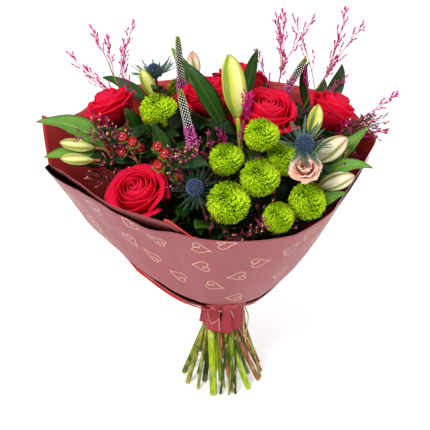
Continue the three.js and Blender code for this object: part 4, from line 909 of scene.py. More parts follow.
def lay_out():
    """Every plant with its paths, leaves, twigs, berries and bracts."""
    kinds = (
        ("rose", "rose", ROSES), ("pompom", "pompom", POMPOMS), ("lily", "bud", LILIES),
        ("alstroemeria", "bud", ALSTROEMERIAS), ("veronica", "spike", VERONICAS),
        ("thistle", "thistle", THISTLES), ("hypericum", "spray", BERRY_SPRAYS), ("grass", "spray", GRASSES),
        ("floret", "spray", FLORET_SPRAYS), ("foliage", "spray", FOLIAGE),
    )
    plants = [plant for row in kinds for plant in plants_of(*row)]
    for number, it in enumerate(plants):
        it["number"] = number
        aim(it)
    places = pack_at_tie(plants)
    bundle_radius = max(math.hypot(*place) + 1.04 * it["radius"] for it, place in zip(plants, places))
    Bowl.neck = bundle_radius + STRING_GAP + 2 * STRING_RADIUS + SHEET_GAP + 0.5 * PAPER_THICKNESS
    bulks = []
    for it, place in zip(plants, places):
        route(it, place)
        for k, (shape, bloom) in enumerate(it["carried"]):
            name = it["name"] if it["kind"] in FUSED_HEADS else f"{it['name']}_{k}"
            bulks.extend({**bulk, "owner": it["name"], "head": name} for bulk in head_bulk(shape, bloom))
    bend_clear([path for it in plants for path in (it["path"], *it["branches"])], bulks)
    for it in plants:
        for path in (it["path"], *it["branches"]):
            room.add(path["points"][:-1], path["points"][1:], path["radius"], it["name"])
    for bulk in bulks:
        room.add(bulk["a"], bulk["b"], bulk["radius"], bulk["head"])
    for it in plants:
        it["leaves"] = [placed_leaf(it, *leaf[1:]) for leaf in LEAVES if leaf[0] == it["name"]]
        it["twigs"] = spray_twigs(it) if it["kind"] in SPRAYS else []
        it["berries"] = berry_places(it) if it["kind"] == "hypericum" else []
        it["bracts"] = bract_places(it) if it["kind"] == "thistle" else []
        if it["kind"] == "foliage":
            it["leaves"] += foliage_leaves(it)
    return plants


# Meshes


def add_object(name, data):
    made = bpy.data.objects.new(name, data)
    bpy.context.scene.collection.objects.link(made)
    return made


class Shell:
    """Faces gathered for one piece. Each point has a share along and across its part, and a chance."""

    def __init__(self):
        self.points, self.marks, self.faces, self.looks = [], [], [], []
        self.count = 0

    def add(self, solid, along=0.0, across=0.0, chance=0.0, look=0):
        self.add_copies(solid, np.eye(3)[None], np.zeros((1, 3)), along, across, [chance], look)

    def add_copies(self, solid, turns, places, along, across, chance, look=0):
        """Copies of a small solid: a 3 by 3 matrix, a place and a chance for each."""
        points, faces = solid
        copies, size = len(places), len(points)
        placed = np.einsum("kij,vj->kvi", turns, points) + places[:, None]
        marks = np.empty((copies, size, 3))
        marks[..., 0], marks[..., 1] = along, across
        marks[..., 2] = np.asarray(chance)[:, None]
        self.points.append(placed.reshape(-1, 3))
        self.marks.append(marks.reshape(-1, 3))
        offsets = self.count + size * np.arange(copies)[:, None, None]
        for block in outward(points, faces):
            self.faces.append((block[None] + offsets).reshape(-1, block.shape[1]))
            self.looks.append(np.full(copies * len(block), look))
        self.count += copies * size

    def piece(self, name, materials, slot, *replaced):
        mesh = bpy.data.meshes.new(name)
        points = np.concatenate(self.points) / 1000 + SHIFT
        corners = np.concatenate([block.ravel() for block in self.faces])
        totals = np.concatenate([np.full(len(block), block.shape[1]) for block in self.faces])
        mesh.vertices.add(len(points))
        mesh.vertices.foreach_set("co", points.ravel())
        mesh.loops.add(len(corners))
        mesh.loops.foreach_set("vertex_index", corners.astype(np.int32))
        mesh.polygons.add(len(totals))
        starts = np.concatenate([[0], np.cumsum(totals)[:-1]])
        mesh.polygons.foreach_set("loop_start", starts.astype(np.int32))
        for column, mark in enumerate(("along", "across", "chance")):
            values = np.concatenate(self.marks)[:, column].astype(np.float32)
            mesh.attributes.new(mark, "FLOAT", "POINT").data.foreach_set("value", values)
        for material in materials:
            mesh.materials.append(material)
        mesh.polygons.foreach_set("material_index", np.concatenate(self.looks).astype(np.int32))
        mesh.polygons.foreach_set("use_smooth", np.ones(len(totals), bool))
        mesh.update(calc_edges=True)
        made = add_object(name, mesh)
        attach(made, "root")
        if replaced:
            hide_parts(*replaced)
        return made


def outward(points, faces):
    """The same faces, turned so that they point out of the body that they close."""
    volume = 0.0
    for block in faces:
        first = points[block[:, 0]]
        for k in range(1, block.shape[1] - 1):
            volume += (first * np.cross(points[block[:, k]], points[block[:, k + 1]])).sum()
    return faces if volume > 0 else [block[:, ::-1] for block in faces]


def normals_of(grid):
    normal = np.cross(np.gradient(grid, axis=0), np.gradient(grid, axis=1))
    return normal / np.maximum(np.linalg.norm(normal, axis=-1, keepdims=True), 1e-9)


def quads_of(index):
    corners = [index[:-1, :-1], index[:-1, 1:], index[1:, 1:], index[1:, :-1]]
    return np.stack(corners, -1).reshape(-1, 4)


def blade(grid, thickness):
    """A thin closed blade over a grid of points: both faces meet in its edge."""
    rows, columns = grid.shape[:2]
    inside = np.zeros((rows, columns), bool)
    inside[1:-1, 1:-1] = True
    half = 0.5 * thickness * normals_of(grid)
    index = np.arange(rows * columns).reshape(rows, columns)
    back = index.copy()
    back[inside] = rows * columns + np.arange(inside.sum())
    points = np.concatenate([(grid + half * inside[..., None]).reshape(-1, 3), (grid - half)[inside]])
    along = np.repeat(np.linspace(0, 1, rows), columns).reshape(rows, columns)
    across = np.tile(np.linspace(-1, 1, columns), rows).reshape(rows, columns)
    marks = [np.concatenate([mark.ravel(), mark[inside]]) for mark in (along, across)]
    return (points, [quads_of(index), quads_of(back)[:, ::-1]]), marks


def add_blade(shell, grid, thickness, chance, look=0):
    solid, (along, across) = blade(grid, thickness)
    shell.add(solid, along, across, chance, look)


def ring_solid(rings):
    """A closed body through rings of points, with a flat end at each side."""
    rows, sides = rings.shape[:2]
    index = np.arange(rows * sides).reshape(rows, sides)
    index = np.concatenate([index, index[:, :1]], 1)
    ends = [index[:1, :-1], index[-1:, :-1][:, ::-1]]
    return rings.reshape(-1, 3), [quads_of(index)[:, ::-1], *ends]


def frames_along(points):
    """Two directions across each point of a path, which don't twist along it."""
    ahead = np.gradient(points, axis=0)
    ahead /= np.maximum(np.linalg.norm(ahead, axis=1, keepdims=True), 1e-9)
    side = np.eye(3)[np.argmin(np.abs(ahead.mean(0)))]
    sides = []
    for direction in ahead:
        side = side - direction * side.dot(direction)
        side = side / np.linalg.norm(side)
        sides.append(side)
    sides = np.array(sides)
    return sides, np.cross(ahead, sides)


def tube(points, radii, sides, push=None):
    """A closed tube along a path. push(turn, row) adds to the radius."""
    points = np.asarray(points, float)
    side, other = frames_along(points)
    turn = 2 * np.pi * np.arange(sides) / sides
    radii = np.broadcast_to(np.asarray(radii, float), len(points))[:, None]
    if push is not None:
        radii = radii + push(turn[None], np.arange(len(points))[:, None])
    ring = side[:, None] * np.cos(turn)[None, :, None] + other[:, None] * np.sin(turn)[None, :, None]
    return ring_solid(points[:, None] + radii[..., None] * ring)


def add_tube(shell, points, radii, sides, chance=0.0, look=0):
    shell.add(tube(points, radii, sides), np.repeat(np.linspace(0, 1, len(points)), sides), 0.0, chance, look)


def smooth_path(points, step, stiff_start=False):
    """A smooth path through points, with a point about every step."""
    points = np.asarray(points, float)
    spans = np.diff(points, axis=0)
    lengths = np.linalg.norm(spans, axis=1)
    ways = spans / np.maximum(lengths, 1e-9)[:, None]
    heading = np.concatenate([ways[:1], ways[:-1] + ways[1:], ways[-1:]])
    if stiff_start:
        heading[1] = ways[0]
    heading /= np.linalg.norm(heading, axis=1, keepdims=True)
    parts = []
    for k, length in enumerate(lengths):
        count = max(1, int(length / step + 0.5))
        t = (np.arange(count) / count)[:, None]
        parts.append(
            (2 * t**3 - 3 * t**2 + 1) * points[k] + (t**3 - 2 * t**2 + t) * length * heading[k]
            + (3 * t**2 - 2 * t**3) * points[k + 1] + (t**3 - t**2) * length * heading[k + 1]
        )
    return np.concatenate([*parts, points[-1:]])


def spun(profile, sides):
    """A body of revolution about +Z from (radius, height) pairs."""
    profile = np.array(profile, float)
    return ring_solid(around(2 * np.pi * np.arange(sides) / sides, profile[:, :1], profile[:, 1:]))


def placed(solid, turn, place):
    points, faces = solid
    return points @ turn.T + place, faces


def smoothstep(value, low, high):
    t = np.clip((value - low) / (high - low), 0, 1)
    return t * t * (3 - 2 * t)


# Materials


class Look:
    """A material under construction, with short ways to add nodes to it."""

    def __init__(self, name, roughness, **sockets):
        self.material = bpy.data.materials.new(name)
        self.material.use_nodes = True
        self.nodes, self.links = self.material.node_tree.nodes, self.material.node_tree.links
        self.shader = self.nodes["Principled BSDF"]
        self.shader.inputs["Roughness"].default_value = roughness
        for socket, value in sockets.items():
            self.shader.inputs[socket.replace("_", " ")].default_value = value

    def node(self, kind, inputs=(), **options):
        node = self.nodes.new("ShaderNode" + kind)
        for option, value in options.items():
            setattr(node, option, value)
        for key, value in dict(inputs).items():
            if isinstance(value, bpy.types.NodeSocket):
                self.links.new(value, node.inputs[key])
            else:
                node.inputs[key].default_value = value
        return node

    def mark(self, name):
        return self.node("Attribute", attribute_name=name).outputs["Fac"]

    def marks(self):
        return [self.mark(name) for name in ("along", "across", "chance")]

    def place(self):
        return self.node("TexCoord").outputs["Object"]

    def noise(self, scale, detail=3.0, stretch=None, source=None, seed=0.0):
        source = source or self.place()
        if stretch:
            source = self.node("Mapping", {"Vector": source, "Scale": stretch}).outputs["Vector"]
        inputs = {"Vector": source, "W": seed, "Scale": scale, "Detail": detail}
        return self.node("TexNoise", inputs, noise_dimensions="4D").outputs["Fac"]

    def math(self, kind, one, two=0.0):
        return self.node("Math", {0: one, 1: two}, operation=kind).outputs["Value"]

    def times(self, one, two):
        return self.math("MULTIPLY", one, two)

    def plus(self, one, two):
        return self.math("ADD", one, two)

    def rest(self, value):
        return self.math("SUBTRACT", 1.0, value)

    def vector(self, x, y, z):
        return self.node("CombineXYZ", {"X": x, "Y": y, "Z": z}).outputs["Vector"]

    def ramp(self, value, stops):
        node = self.node("ValToRGB", {"Fac": value})
        elements = node.color_ramp.elements
        while len(elements) < len(stops):
            elements.new(0.5)
        for element, (position, colour) in zip(elements, stops):
            element.position = position
            element.color = shade(colour)
        return node.outputs["Color"]

    def steps(self, value, low, high):
        node = self.node("MapRange", {"Value": value, "From Min": low, "From Max": high})
        node.interpolation_type = "SMOOTHSTEP"
        return node.outputs["Result"]

    def mix(self, share, one, two):
        one, two = (shade(c) if isinstance(c, str) else c for c in (one, two))
        return self.node("Mix", {"Factor": share, 6: one, 7: two}, data_type="RGBA").outputs[2]

    def bump(self, height, strength, distance=0.0005):
        inputs = {"Height": height, "Strength": strength, "Distance": distance}
        self.links.new(self.node("Bump", inputs).outputs["Normal"], self.shader.inputs["Normal"])

    def finish(self, colour):
        self.links.new(colour, self.shader.inputs["Base Color"])
        return self.material


def shade(code):
    """Linear colour of a hex code."""
    values = [int(code[k:k + 2], 16) / 255 for k in (1, 3, 5)]
    return (*[v / 12.92 if v <= 0.04045 else ((v + 0.055) / 1.055) ** 2.4 for v in values], 1.0)


def petal_look(name, stops, edge, speckle=0.2, roughness=0.6, spread=0.3, **sockets):
    """A petal, darker towards its foot, with fine fibres. spread is how far chance shifts its tone."""
    look = Look(name, roughness, Specular_IOR_Level=0.12, **sockets)
    along, across, chance = look.marks()
    shift = look.times(look.math("SUBTRACT", chance, 0.5), spread)
    base = look.ramp(look.plus(along, shift), stops)
    fibre = look.noise(9.0, 4.0, source=look.vector(look.times(across, 3.0), along, chance))
    tinted = look.mix(look.times(fibre, speckle), base, edge)
    rim = look.times(look.steps(along, 0.93, 1.0), 0.4)
    look.bump(look.plus(fibre, look.noise(900.0)), 0.25, 0.0004)
    return look.finish(look.mix(rim, tinted, edge))


def leaf_look(name, dark, light, vein, ribs, roughness):
    """A leaf with a midrib and parallel veins. ribs is how many run on each side."""
    look = Look(name, roughness, Specular_IOR_Level=0.28)
    along, across, chance = look.marks()
    wave = look.math("SINE", look.times(across, ribs * math.pi * 2))
    lines = look.steps(wave, 0.45, 1.0)
    middle = look.rest(look.steps(look.math("ABSOLUTE", across), 0.0, 0.09))
    tone = look.plus(look.times(look.noise(60.0, 4.0), 0.6), look.times(chance, 0.55))
    base = look.mix(tone, dark, light)
    veined = look.mix(look.times(lines, 0.35), base, vein)
    ribbed = look.mix(look.times(middle, 0.6), veined, vein)
    tip = look.steps(along, 0.93, 1.0)
    look.bump(look.math("SUBTRACT", look.times(lines, -1.0), look.times(middle, 1.5)), 0.4)
    return look.finish(look.mix(look.times(tip, 0.3), ribbed, "#8a8a2a"))


def stem_look(name, dark, light, scar):
    """A stem with streaks, scars and pale joints, and a pale cut end."""
    look = Look(name, 0.45, Specular_IOR_Level=0.2)
    along, joint = look.mark("along"), look.mark("across")
    streaks = look.noise(260.0, 4.0, stretch=(1.0, 1.0, 0.06))
    blotches = look.noise(70.0, 3.0, seed=2.0)
    base = look.mix(look.steps(streaks, 0.3, 0.7), dark, light)
    marked = look.mix(look.times(look.steps(blotches, 0.58, 0.68), 0.7), base, scar)
    jointed = look.mix(look.times(joint, 0.6), marked, "#b8b070")
    foot = look.rest(look.steps(along, 0.0, 0.01))
    look.bump(streaks, 0.2, 0.0004)
    return look.finish(look.mix(look.times(foot, 0.8), jointed, "#dcd8a4"))


def make_looks():
    LOOKS["rose"] = petal_look(
        "rose_petal", [(0.0, "#6c000c"), (0.3, "#ba001a"), (0.65, "#e20229"), (1.0, "#ee0a38")], "#f82c54",
        speckle=0.15, roughness=0.7,
        Subsurface_Weight=0.4, Subsurface_Radius=(1.0, 0.1, 0.12), Subsurface_Scale=0.004,
    )
    LOOKS["pompom"] = petal_look(
        "green_floret", [(0.0, "#2c5000"), (0.25, "#78b802"), (0.6, "#b4ec04"), (1.0, "#deff20")], "#e8ff50",
        speckle=0.1, spread=0.5,
    )
    LOOKS["peach"] = petal_look(
        "peach_petal", [(0.0, "#c0803c"), (0.35, "#e8986c"), (0.7, "#f6b898"), (1.0, "#ffeade")], "#fffaf4",
        0.25, 0.5,
    )
    LOOKS["veronica_open"] = petal_look(
        "veronica_open", [(0.0, "#c41c86"), (0.5, "#f050b8"), (1.0, "#ff8ad4")], "#ffc0e8",
    )
    for make, table in ((leaf_look, LEAF_LOOKS), (stem_look, STEM_LOOKS), (bud_look, BUD_LOOKS)):
        LOOKS.update({key: make(*values) for key, values in table.items()})
    for key, make in (
        ("veronica", veronica_look), ("thistle", thistle_look), ("berry", berry_look), ("grass", grass_look),
        ("floret", floret_look),
    ):
        LOOKS[key] = make()
    LOOKS["paper_out"] = paper_look("rose_paper", "#985054", "#90484e", "#a8686c")
    # pink_paper's last colour is painted shade on the inner sheet's outer face.
    LOOKS["paper_outer_face"] = paper_look(
        "pink_paper", "#985054", "#90484e", "#a8686c", low="#a02c34", painted_shade_colour="#140405",
    )
    # The outer sheet's inner face: red paper with painted shade in the gap between the sheets.
    LOOKS["paper_gap"] = paper_look("red_paper_painted_shade", "#a82c2c", "#8c2024", "#c04440", painted_shade_colour="#140405")
    # The collar's last colour is painted shade in the hollows of its folds.
    LOOKS["paper_collar"] = paper_look("collar_paper", "#b04048", "#94303a", "#c4646a", painted_shade_colour="#2c0408")
    LOOKS["paper_fold"] = paper_look("fold_paper", "#c84444", "#b03034", "#d86c64")
    LOOKS["paper_edge"] = paper_look(
        "edge_paper", "#b83430", "#982422", "#cc5044",
        Subsurface_Weight=1.0, Subsurface_Radius=(1.0, 0.3, 0.3), Subsurface_Scale=0.01,
    )
    LOOKS["paper_in"] = paper_look("red_paper", "#cc3c3a", "#a42a2c", "#de5a50")
    LOOKS["gold"] = gold_look()
    LOOKS["twine"] = cord_look("jute_twine", "#b08858", "#dcba8c")
    LOOKS["string"] = cord_look("binding_string", "#b8a67c", "#ddd0aa")


def bud_look(name, pale, body, rib, roughness, blush):
    """A closed bud: pale grooves, green ribs along its tepals, green ends, and a blush towards its tip."""
    look = Look(name, roughness, Specular_IOR_Level=0.3)
    along, across, chance = look.marks()
    fibre = look.noise(6.0, 4.0, source=look.vector(look.times(across, 6.0), along, chance))
    base = look.mix(look.steps(across, -0.9, 0.3), pale, body)
    edge = look.plus(across, look.times(fibre, 0.3))
    ribbed = look.mix(look.times(look.steps(edge, 0.62, 1.0), 0.95), base, rib)
    green = look.plus(look.rest(look.steps(along, 0.0, 0.3)), look.steps(along, 0.9, 1.0))
    ended = look.mix(look.times(green, 0.55), ribbed, rib)
    tinted = look.mix(look.times(fibre, 0.2), ended, pale)
    look.bump(fibre, 0.2, 0.0005)
    warm = look.times(look.steps(along, 0.62, 0.95), look.times(chance, blush))
    return look.finish(look.mix(warm, tinted, "#dc7c80"))


def veronica_look():
    look = Look("veronica_bud", 0.55, Specular_IOR_Level=0.2)
    along, chance = look.mark("along"), look.mark("chance")
    stages = look.ramp(chance, [
        (0.0, "#b8187c"), (0.28, "#cc5aa4"), (0.4, "#fcf8f0"), (0.8, "#f0f4dc"), (0.93, "#b8cc5c"),
        (1.0, "#c4d018"),
    ])
    # Each bud's foot and the spike's core go from green to near black: partly the green of the buds' feet,
    # and painted shade between the buds.
    foot = look.rest(look.steps(along, 0.45, 0.75))
    return look.finish(look.mix(foot, stages, "#0e1c08"))


def thistle_look():
    look = Look("thistle_blue", 0.5, Specular_IOR_Level=0.3)
    along, chance = look.mark("along"), look.mark("chance")
    base = look.ramp(along, [(0.0, "#0c1420"), (0.45, "#24385c"), (0.8, "#48649c"), (1.0, "#b4c4dc")])
    return look.finish(look.mix(look.times(chance, 0.3), base, "#5c7470"))


def berry_look():
    look = Look("berry_skin", 0.14, Coat_Weight=0.5, Coat_Roughness=0.06)
    tone = look.plus(look.times(look.noise(120.0), 0.4), look.times(look.mark("chance"), 0.6))
    base = look.mix(tone, "#80060e", "#c80c18")
    return look.finish(look.mix(look.steps(look.mark("along"), 0.9, 1.0), base, "#300406"))


def grass_look():
    look = Look("magenta_grass", 0.5, Specular_IOR_Level=0.2)
    tone = look.plus(look.times(look.noise(150.0), 0.5), look.times(look.mark("chance"), 0.5))
    return look.finish(look.ramp(tone, [(0.1, "#8c0c58"), (0.45, "#c4187c"), (0.8, "#e8449c")]))


def floret_look():
    look = Look("mauve_floret", 0.5, Specular_IOR_Level=0.2)
    along, chance = look.mark("along"), look.mark("chance")
    base = look.ramp(chance, [(0.0, "#5c0c34"), (0.5, "#a42464"), (0.85, "#d05c94"), (1.0, "#eca8c8")])
    tip = look.times(look.steps(along, 0.6, 0.7), look.steps(chance, 0.86, 0.88))
    foot = look.rest(look.steps(along, 0.0, 0.3))
    return look.finish(look.mix(tip, look.mix(foot, base, "#4c6a24"), "#f8e020"))


def paper_look(name, body, dark, light, low=None, painted_shade_colour=None, **sockets):
    """Matt coated paper with mottling and creases. low is its colour near the tie. The last colour is painted
    shade, laid on where the across mark says the paper is hidden or shaded, with its gloss taken away there.
    """
    look = Look(name, 0.4, Specular_IOR_Level=0.25, **sockets)
    mottle = look.noise(14.0, 5.0)
    creases = look.noise(30.0, 6.0, stretch=(1.0, 1.0, 0.25))
    base = look.mix(look.steps(mottle, 0.35, 0.7), body, dark)
    look.bump(look.plus(look.times(look.noise(1400.0, 2.0), 0.2), creases), 0.12, 0.001)
    colour = look.mix(look.times(look.steps(creases, 0.55, 0.75), 0.3), base, light)
    if low:
        height = look.node("SeparateXYZ", {0: look.place()}).outputs["Z"]
        colour = look.mix(look.steps(height, 0.17, 0.23), look.mix(creases, low, "#7c1a24"), colour)
    # Painted shade: the across mark darkens the paper to the shade colour and dulls its gloss.
    if painted_shade_colour:
        painted_shade = look.mark("across")
        colour = look.mix(painted_shade, colour, painted_shade_colour)
        gloss = look.rest(painted_shade)
        look.links.new(look.times(gloss, 0.1), look.shader.inputs["Specular IOR Level"])
    return look.finish(colour)


def gold_look():
    look = Look("gold_print", 0.35)
    return look.finish(look.mix(look.noise(400.0), "#d8a88c", "#eccbb0"))


def cord_look(name, dark, light):
    look = Look(name, 0.85)
    fibres = look.noise(2600.0, 4.0, stretch=(1.0, 1.0, 0.3))
    look.bump(fibres, 0.5, 0.0003)
    return look.finish(look.mix(look.plus(look.times(fibres, 0.8), look.mark("along")), dark, light))


# Leaves, stems and small parts


def fine_leaf(shell, leaf, look=0, facing=LEAF_FACING, rows=18, columns=7, teeth=0.0):
    """A leaf over its solid's shape: pointed, arched across, with waved edges."""
    width = leaf[3]
    shares, centre, side, up, half = leaf_shape(*leaf, rows, facing, 0.45, 0.9)
    half *= 1 + teeth * (np.arange(rows + 1) % 2 - 0.5)
    across = np.linspace(-1, 1, columns)
    ripple = 0.16 * half * np.sin(shares * 11 + width)
    curl = 0.05 * half * np.sin(shares * 31 + 2 * width)
    rise = 0.22 * half[:, None] * np.abs(across) ** 1.2 + ripple[:, None] * across
    rise = rise + curl[:, None] * np.abs(across) ** 3 * np.sign(across)
    reach = half[:, None] * across
    grid = centre[:, None] + side[:, None] * reach[..., None] + up[:, None] * rise[..., None]
    add_blade(shell, grid, 0.5, RNG.random(), look)


def fine_stem(shell, path, tip, flare, chance, stiff=True, nodes=0.0, sides=10):
    """A stem with slight joints along it, and its end widened below a bloom."""
    points = smooth_path(path["points"], 4.0, stiff)
    radii = path["radius"] * (1.04 - (1.04 - tip) * np.linspace(0, 1, len(points)))
    distance = np.concatenate([[0], np.cumsum(np.linalg.norm(np.diff(points, axis=0), axis=1))])
    if flare:
        rest = distance[-1] - distance
        radii = radii + (flare - radii) * np.clip(1 - rest / 7, 0, 1) ** 1.5
    spacing = 34 + 14 * chance
    swell = np.exp(-((np.mod(distance + 60 * chance, spacing) - spacing / 2) / 2.2) ** 2)
    radii = radii * (1 + nodes * swell)

    def push(turn, row):
        return 0.05 * path["radius"] * np.sin(3 * turn + 0.15 * row)

    solid = tube(points, radii, sides, push)
    solid[0][:, 2] = np.maximum(solid[0][:, 2], 0)
    joint = swell * (nodes > 0)
    shell.add(solid, np.repeat(distance / distance[-1], sides), np.repeat(joint, sides), chance)


def sepal_leaves(end, facing, size, count):
    turn = turn_to(facing)
    start = end - 4.5 * facing
    leaves = []
    for k in range(count):
        out = turn @ outwards(2 * math.pi * k / count)
        tip = start + size * out - 0.45 * size * facing
        leaves.append((start, start + 0.7 * size * out, tip, 0.42 * size, 0.0))
    return leaves


def teardrop(radius, length, sides, rows, waist=0.35):
    """A small pointed body along +Z, for buds, seeds and spikes."""
    share = np.linspace(0, 1, rows)
    profile = np.sin(np.pi * np.clip(share, 0.03, 0.97) ** (0.7 + waist)) * radius
    return spun(np.stack([profile, share * length], 1), sides)


def along_of(solid, length):
    return np.clip(solid[0][:, 2] / length, 0, 1)


def turns_to(directions, spins):
    return np.array([turn_to(direction, spin) for direction, spin in zip(directions, spins)])


def stance(shape, bloom, spin=0.0):
    """The turn of a bloom and the place of its base."""
    return turn_to(unit(bloom["facing"]), spin), head_base(shape, bloom)


def add_core(shell, profile, sides, size, turn, base, along, chance, look=0):
    """The body in the middle of a bloom, in shares of the bloom's size."""
    points, faces = spun(profile, sides)
    shell.add(placed((points * size, faces), turn, base), along, 0.0, chance, look)


# Blooms, each with its base at the origin and facing +Z


def rose_petal(size, t, spin, rng):
    """One petal of a rose. t runs from 0, the innermost, to 1, the outermost."""
    rows, columns = 15, 19
    v = np.linspace(0, 1, rows)[:, None]
    u = np.linspace(-1, 1, columns)[None]
    wave = 6 * rng.random()
    open_share = smoothstep(np.array(t), 0.3, 0.95)
    reach = size * (0.09 + 0.72 * t**0.8)
    height = 1.42 * size * (0.97 - 0.2 * t**2 + 0.05 * (rng.random() - 0.5))
    wrap = 2.1 - 1.15 * t**0.6
    narrow = 0.35 + 0.65 * np.sin(np.pi / 2 * np.minimum(1, v / 0.55))
    azimuth = spin + wrap * narrow * u
    base = 0.12 * size
    radius = base + (reach - base) * np.sin(np.pi / 2 * np.minimum(1, v / 0.7)) ** 0.85
    over = np.maximum(0, v - 0.6) / 0.4
    radius = radius - reach * (0.38 * (1 - t) ** 1.3) * over**1.6
    lip = smoothstep(v, 0.7, 1.0) * (1 - 0.25 * u**2)
    roll = 0.24 * size * open_share
    radius = radius + roll * lip**1.3
    edge = np.maximum(0, np.abs(u) - 0.55) / 0.45
    radius = radius + 0.1 * size * open_share * edge**1.5 * v
    radius = radius + 0.05 * size * u * v * (0.5 + t)
    radius = radius + (0.01 + 0.03 * t) * size * np.sin(2.6 * u + wave) * v**2
    drop = (0.05 + 0.2 * t) * np.abs(u) ** 2.2 * v**2
    point = 0.07 * np.exp(-((u / 0.22) ** 2)) * v**8 * open_share
    z = height * (v**0.92 - drop + point) - 0.95 * roll * lip**2.4
    z = z + (0.008 + 0.022 * t) * size * np.sin(3.4 * u + 2 * wave) * v**2
    return around(azimuth, radius, z)


def rose_bloom(shell, bloom, number):
    size = bloom["size"]
    turn, base = stance("rose", bloom, bloom["spin"])
    rng = np.random.default_rng(SEEDS["rose"] + number)
    profile = [(0.02, 0.0), (0.12, 0.0), (0.17, 0.12), (0.12, 0.7), (0.05, 1.2), (0.01, 1.28)]
    add_core(shell, profile, 16, size, turn, base, 0.3, 0.2)
    for k in range(ROSE_PETALS):
        t = (k / (ROSE_PETALS - 1)) ** 0.9
        grid = rose_petal(size, t, k * GOLDEN + 0.25 * rng.random(), rng)
        lean = about(unit(outwards(k * GOLDEN)), 0.05 * t * rng.normal())
        add_blade(shell, grid @ lean.T @ turn.T + base, 0.5, 0.2 + 0.6 * rng.random())


def floret_solid(width, curl, cup):
    """A narrow curved floret along +Z, one unit long, with a cupped tip."""
    v = np.linspace(0, 1, 4)[:, None]
    u = np.linspace(-1, 1, 3)[None]
    half = width * np.array([0.6, 0.9, 1.0, 0.5])[:, None]
    y = curl * v**2 + cup * width * np.abs(u) * (0.3 + v)
    return blade(np.stack([half * u, y, v + 0 * u], -1), 0.4 * width)


def pompom_head(shell, bloom, number):
    """A ball of fine florets in spirals, tight and dark at its middle."""
    size = bloom["size"]
    turn, base = stance("pompom", bloom)
    rng = np.random.default_rng(SEEDS["pompom"] + number)
    profile = [(0.1, 0.02), (0.42, 0.05), (0.72, 0.22), (0.76, 0.45), (0.6, 0.66), (0.34, 0.76), (0.02, 0.78)]
    add_core(shell, profile, 20, size, turn, base, 0.0, 0.2)
    order = np.arange(POMPOM_FLORETS)
    azimuth = GOLDEN * order
    polar = np.arccos(1 - (1 - math.cos(math.radians(115))) * (order + 0.5) / POMPOM_FLORETS)
    out = around(azimuth, np.sin(polar), np.cos(polar))
    middle = np.array([0.0, 0.0, 0.44])
    crater = np.exp(-((polar / 0.2) ** 2))[:, None]
    roots = middle + out * np.array([0.66, 0.66, 0.36])
    reach = 0.95 + 0.09 * rng.random((POMPOM_FLORETS, 1)) - 0.14 * crater
    tips = middle + out * np.array([0.99, 0.99, 0.52]) * reach
    tips = tips - 0.08 * out * np.array([1, 1, 0]) * np.cos(polar)[:, None]
    ways = tips - roots
    lengths = np.linalg.norm(ways, axis=1)
    directions = ways / lengths[:, None]
    kinds = ((0.055, 0.15, 1.2), (0.048, 0.3, 0.9), (0.06, 0.05, 1.4))
    for kind, (width, curl, cup) in enumerate(kinds):
        solid, marks = floret_solid(width, curl, cup)
        chosen = order % 3 == kind
        spins = azimuth[chosen] + 0.5 * rng.normal(size=chosen.sum())
        wide = size * (0.6 + 0.4 * np.minimum(1, polar[chosen] / 0.8))
        scale = np.stack([wide, wide, size * lengths[chosen]], -1)
        matrices = turn @ (turns_to(directions[chosen], -spins) * scale[:, None, :])
        tone = np.clip(0.75 - 0.7 * crater[chosen, 0] + 0.3 * (rng.random(chosen.sum()) - 0.5), 0, 1)
        shell.add_copies(solid, matrices, (size * roots[chosen]) @ turn.T + base, *marks, tone)


def bud_solid(size, length, lobes, depth, twist, rows=36, sides=54):
    """A closed bud of folded tepals, with its ridges and grooves."""
    share = np.linspace(0, 1, rows)
    places = [0, 0.04, 0.18, 0.32, 0.5, 0.68, 0.82, 0.93, 0.98, 1]
    body = np.interp(share, places, [0.3, 0.42, 0.74, 0.93, 1, 0.93, 0.76, 0.48, 0.27, 0.06])
    body = np.convolve(np.pad(body, 2, mode="edge"), np.ones(5) / 5, mode="valid")
    turn = 2 * np.pi * np.arange(sides) / sides
    ridge = np.cos(lobes * (turn[None] + twist * share[:, None]))
    fade = np.sin(np.pi * np.clip(share, 0.0, 0.98))[:, None] ** 0.6
    groove = np.exp(-(ridge + 1) / 0.12)
    radius = size * body[:, None] * (1 + depth * ridge * fade - 0.07 * groove * fade)
    return ring_solid(around(turn, radius, length * share[:, None])), np.repeat(share, sides), ridge.ravel()


def add_bud(shell, bloom, base, chance, lobes=3, depth=0.08, twist=0.0):
    solid, along, ridge = bud_solid(bloom["size"], bloom["length"], lobes, depth, twist)
    shell.add(placed(solid, turn_to(unit(bloom["facing"]), bloom["spin"]), base), along, ridge, chance)


def peach_petal(size, index, count, layer, wave):
    rows, columns = 13, 17
    v = np.linspace(0, 1, rows)[:, None]
    u = np.linspace(-1, 1, columns)[None]
    belly = (0.5, 0.78, 0.95)[layer]
    top = (1.15, 1.1, 0.95)[layer]
    azimuth = 2 * np.pi * index / count + 0.5 * layer + (0.35 + 0.75 * v**0.7) * 1.25 * u
    radius = size * (0.14 + (belly - 0.14) * np.sin(np.pi / 2 * v**0.8))
    frill = smoothstep(v, 0.55, 1.0)
    waves = 0.16 * layer + 0.09 * np.sin(9 * u + wave) + 0.05 * np.sin(17 * u + 2 * wave)
    radius = radius + size * frill * waves
    z = 1.42 * size * (top * v**0.95 - 0.1 * u**2 * v) - 0.2 * size * layer * frill
    z = z + size * 0.06 * frill * np.sin(11 * u + 2 * wave)
    return around(azimuth, radius, z)


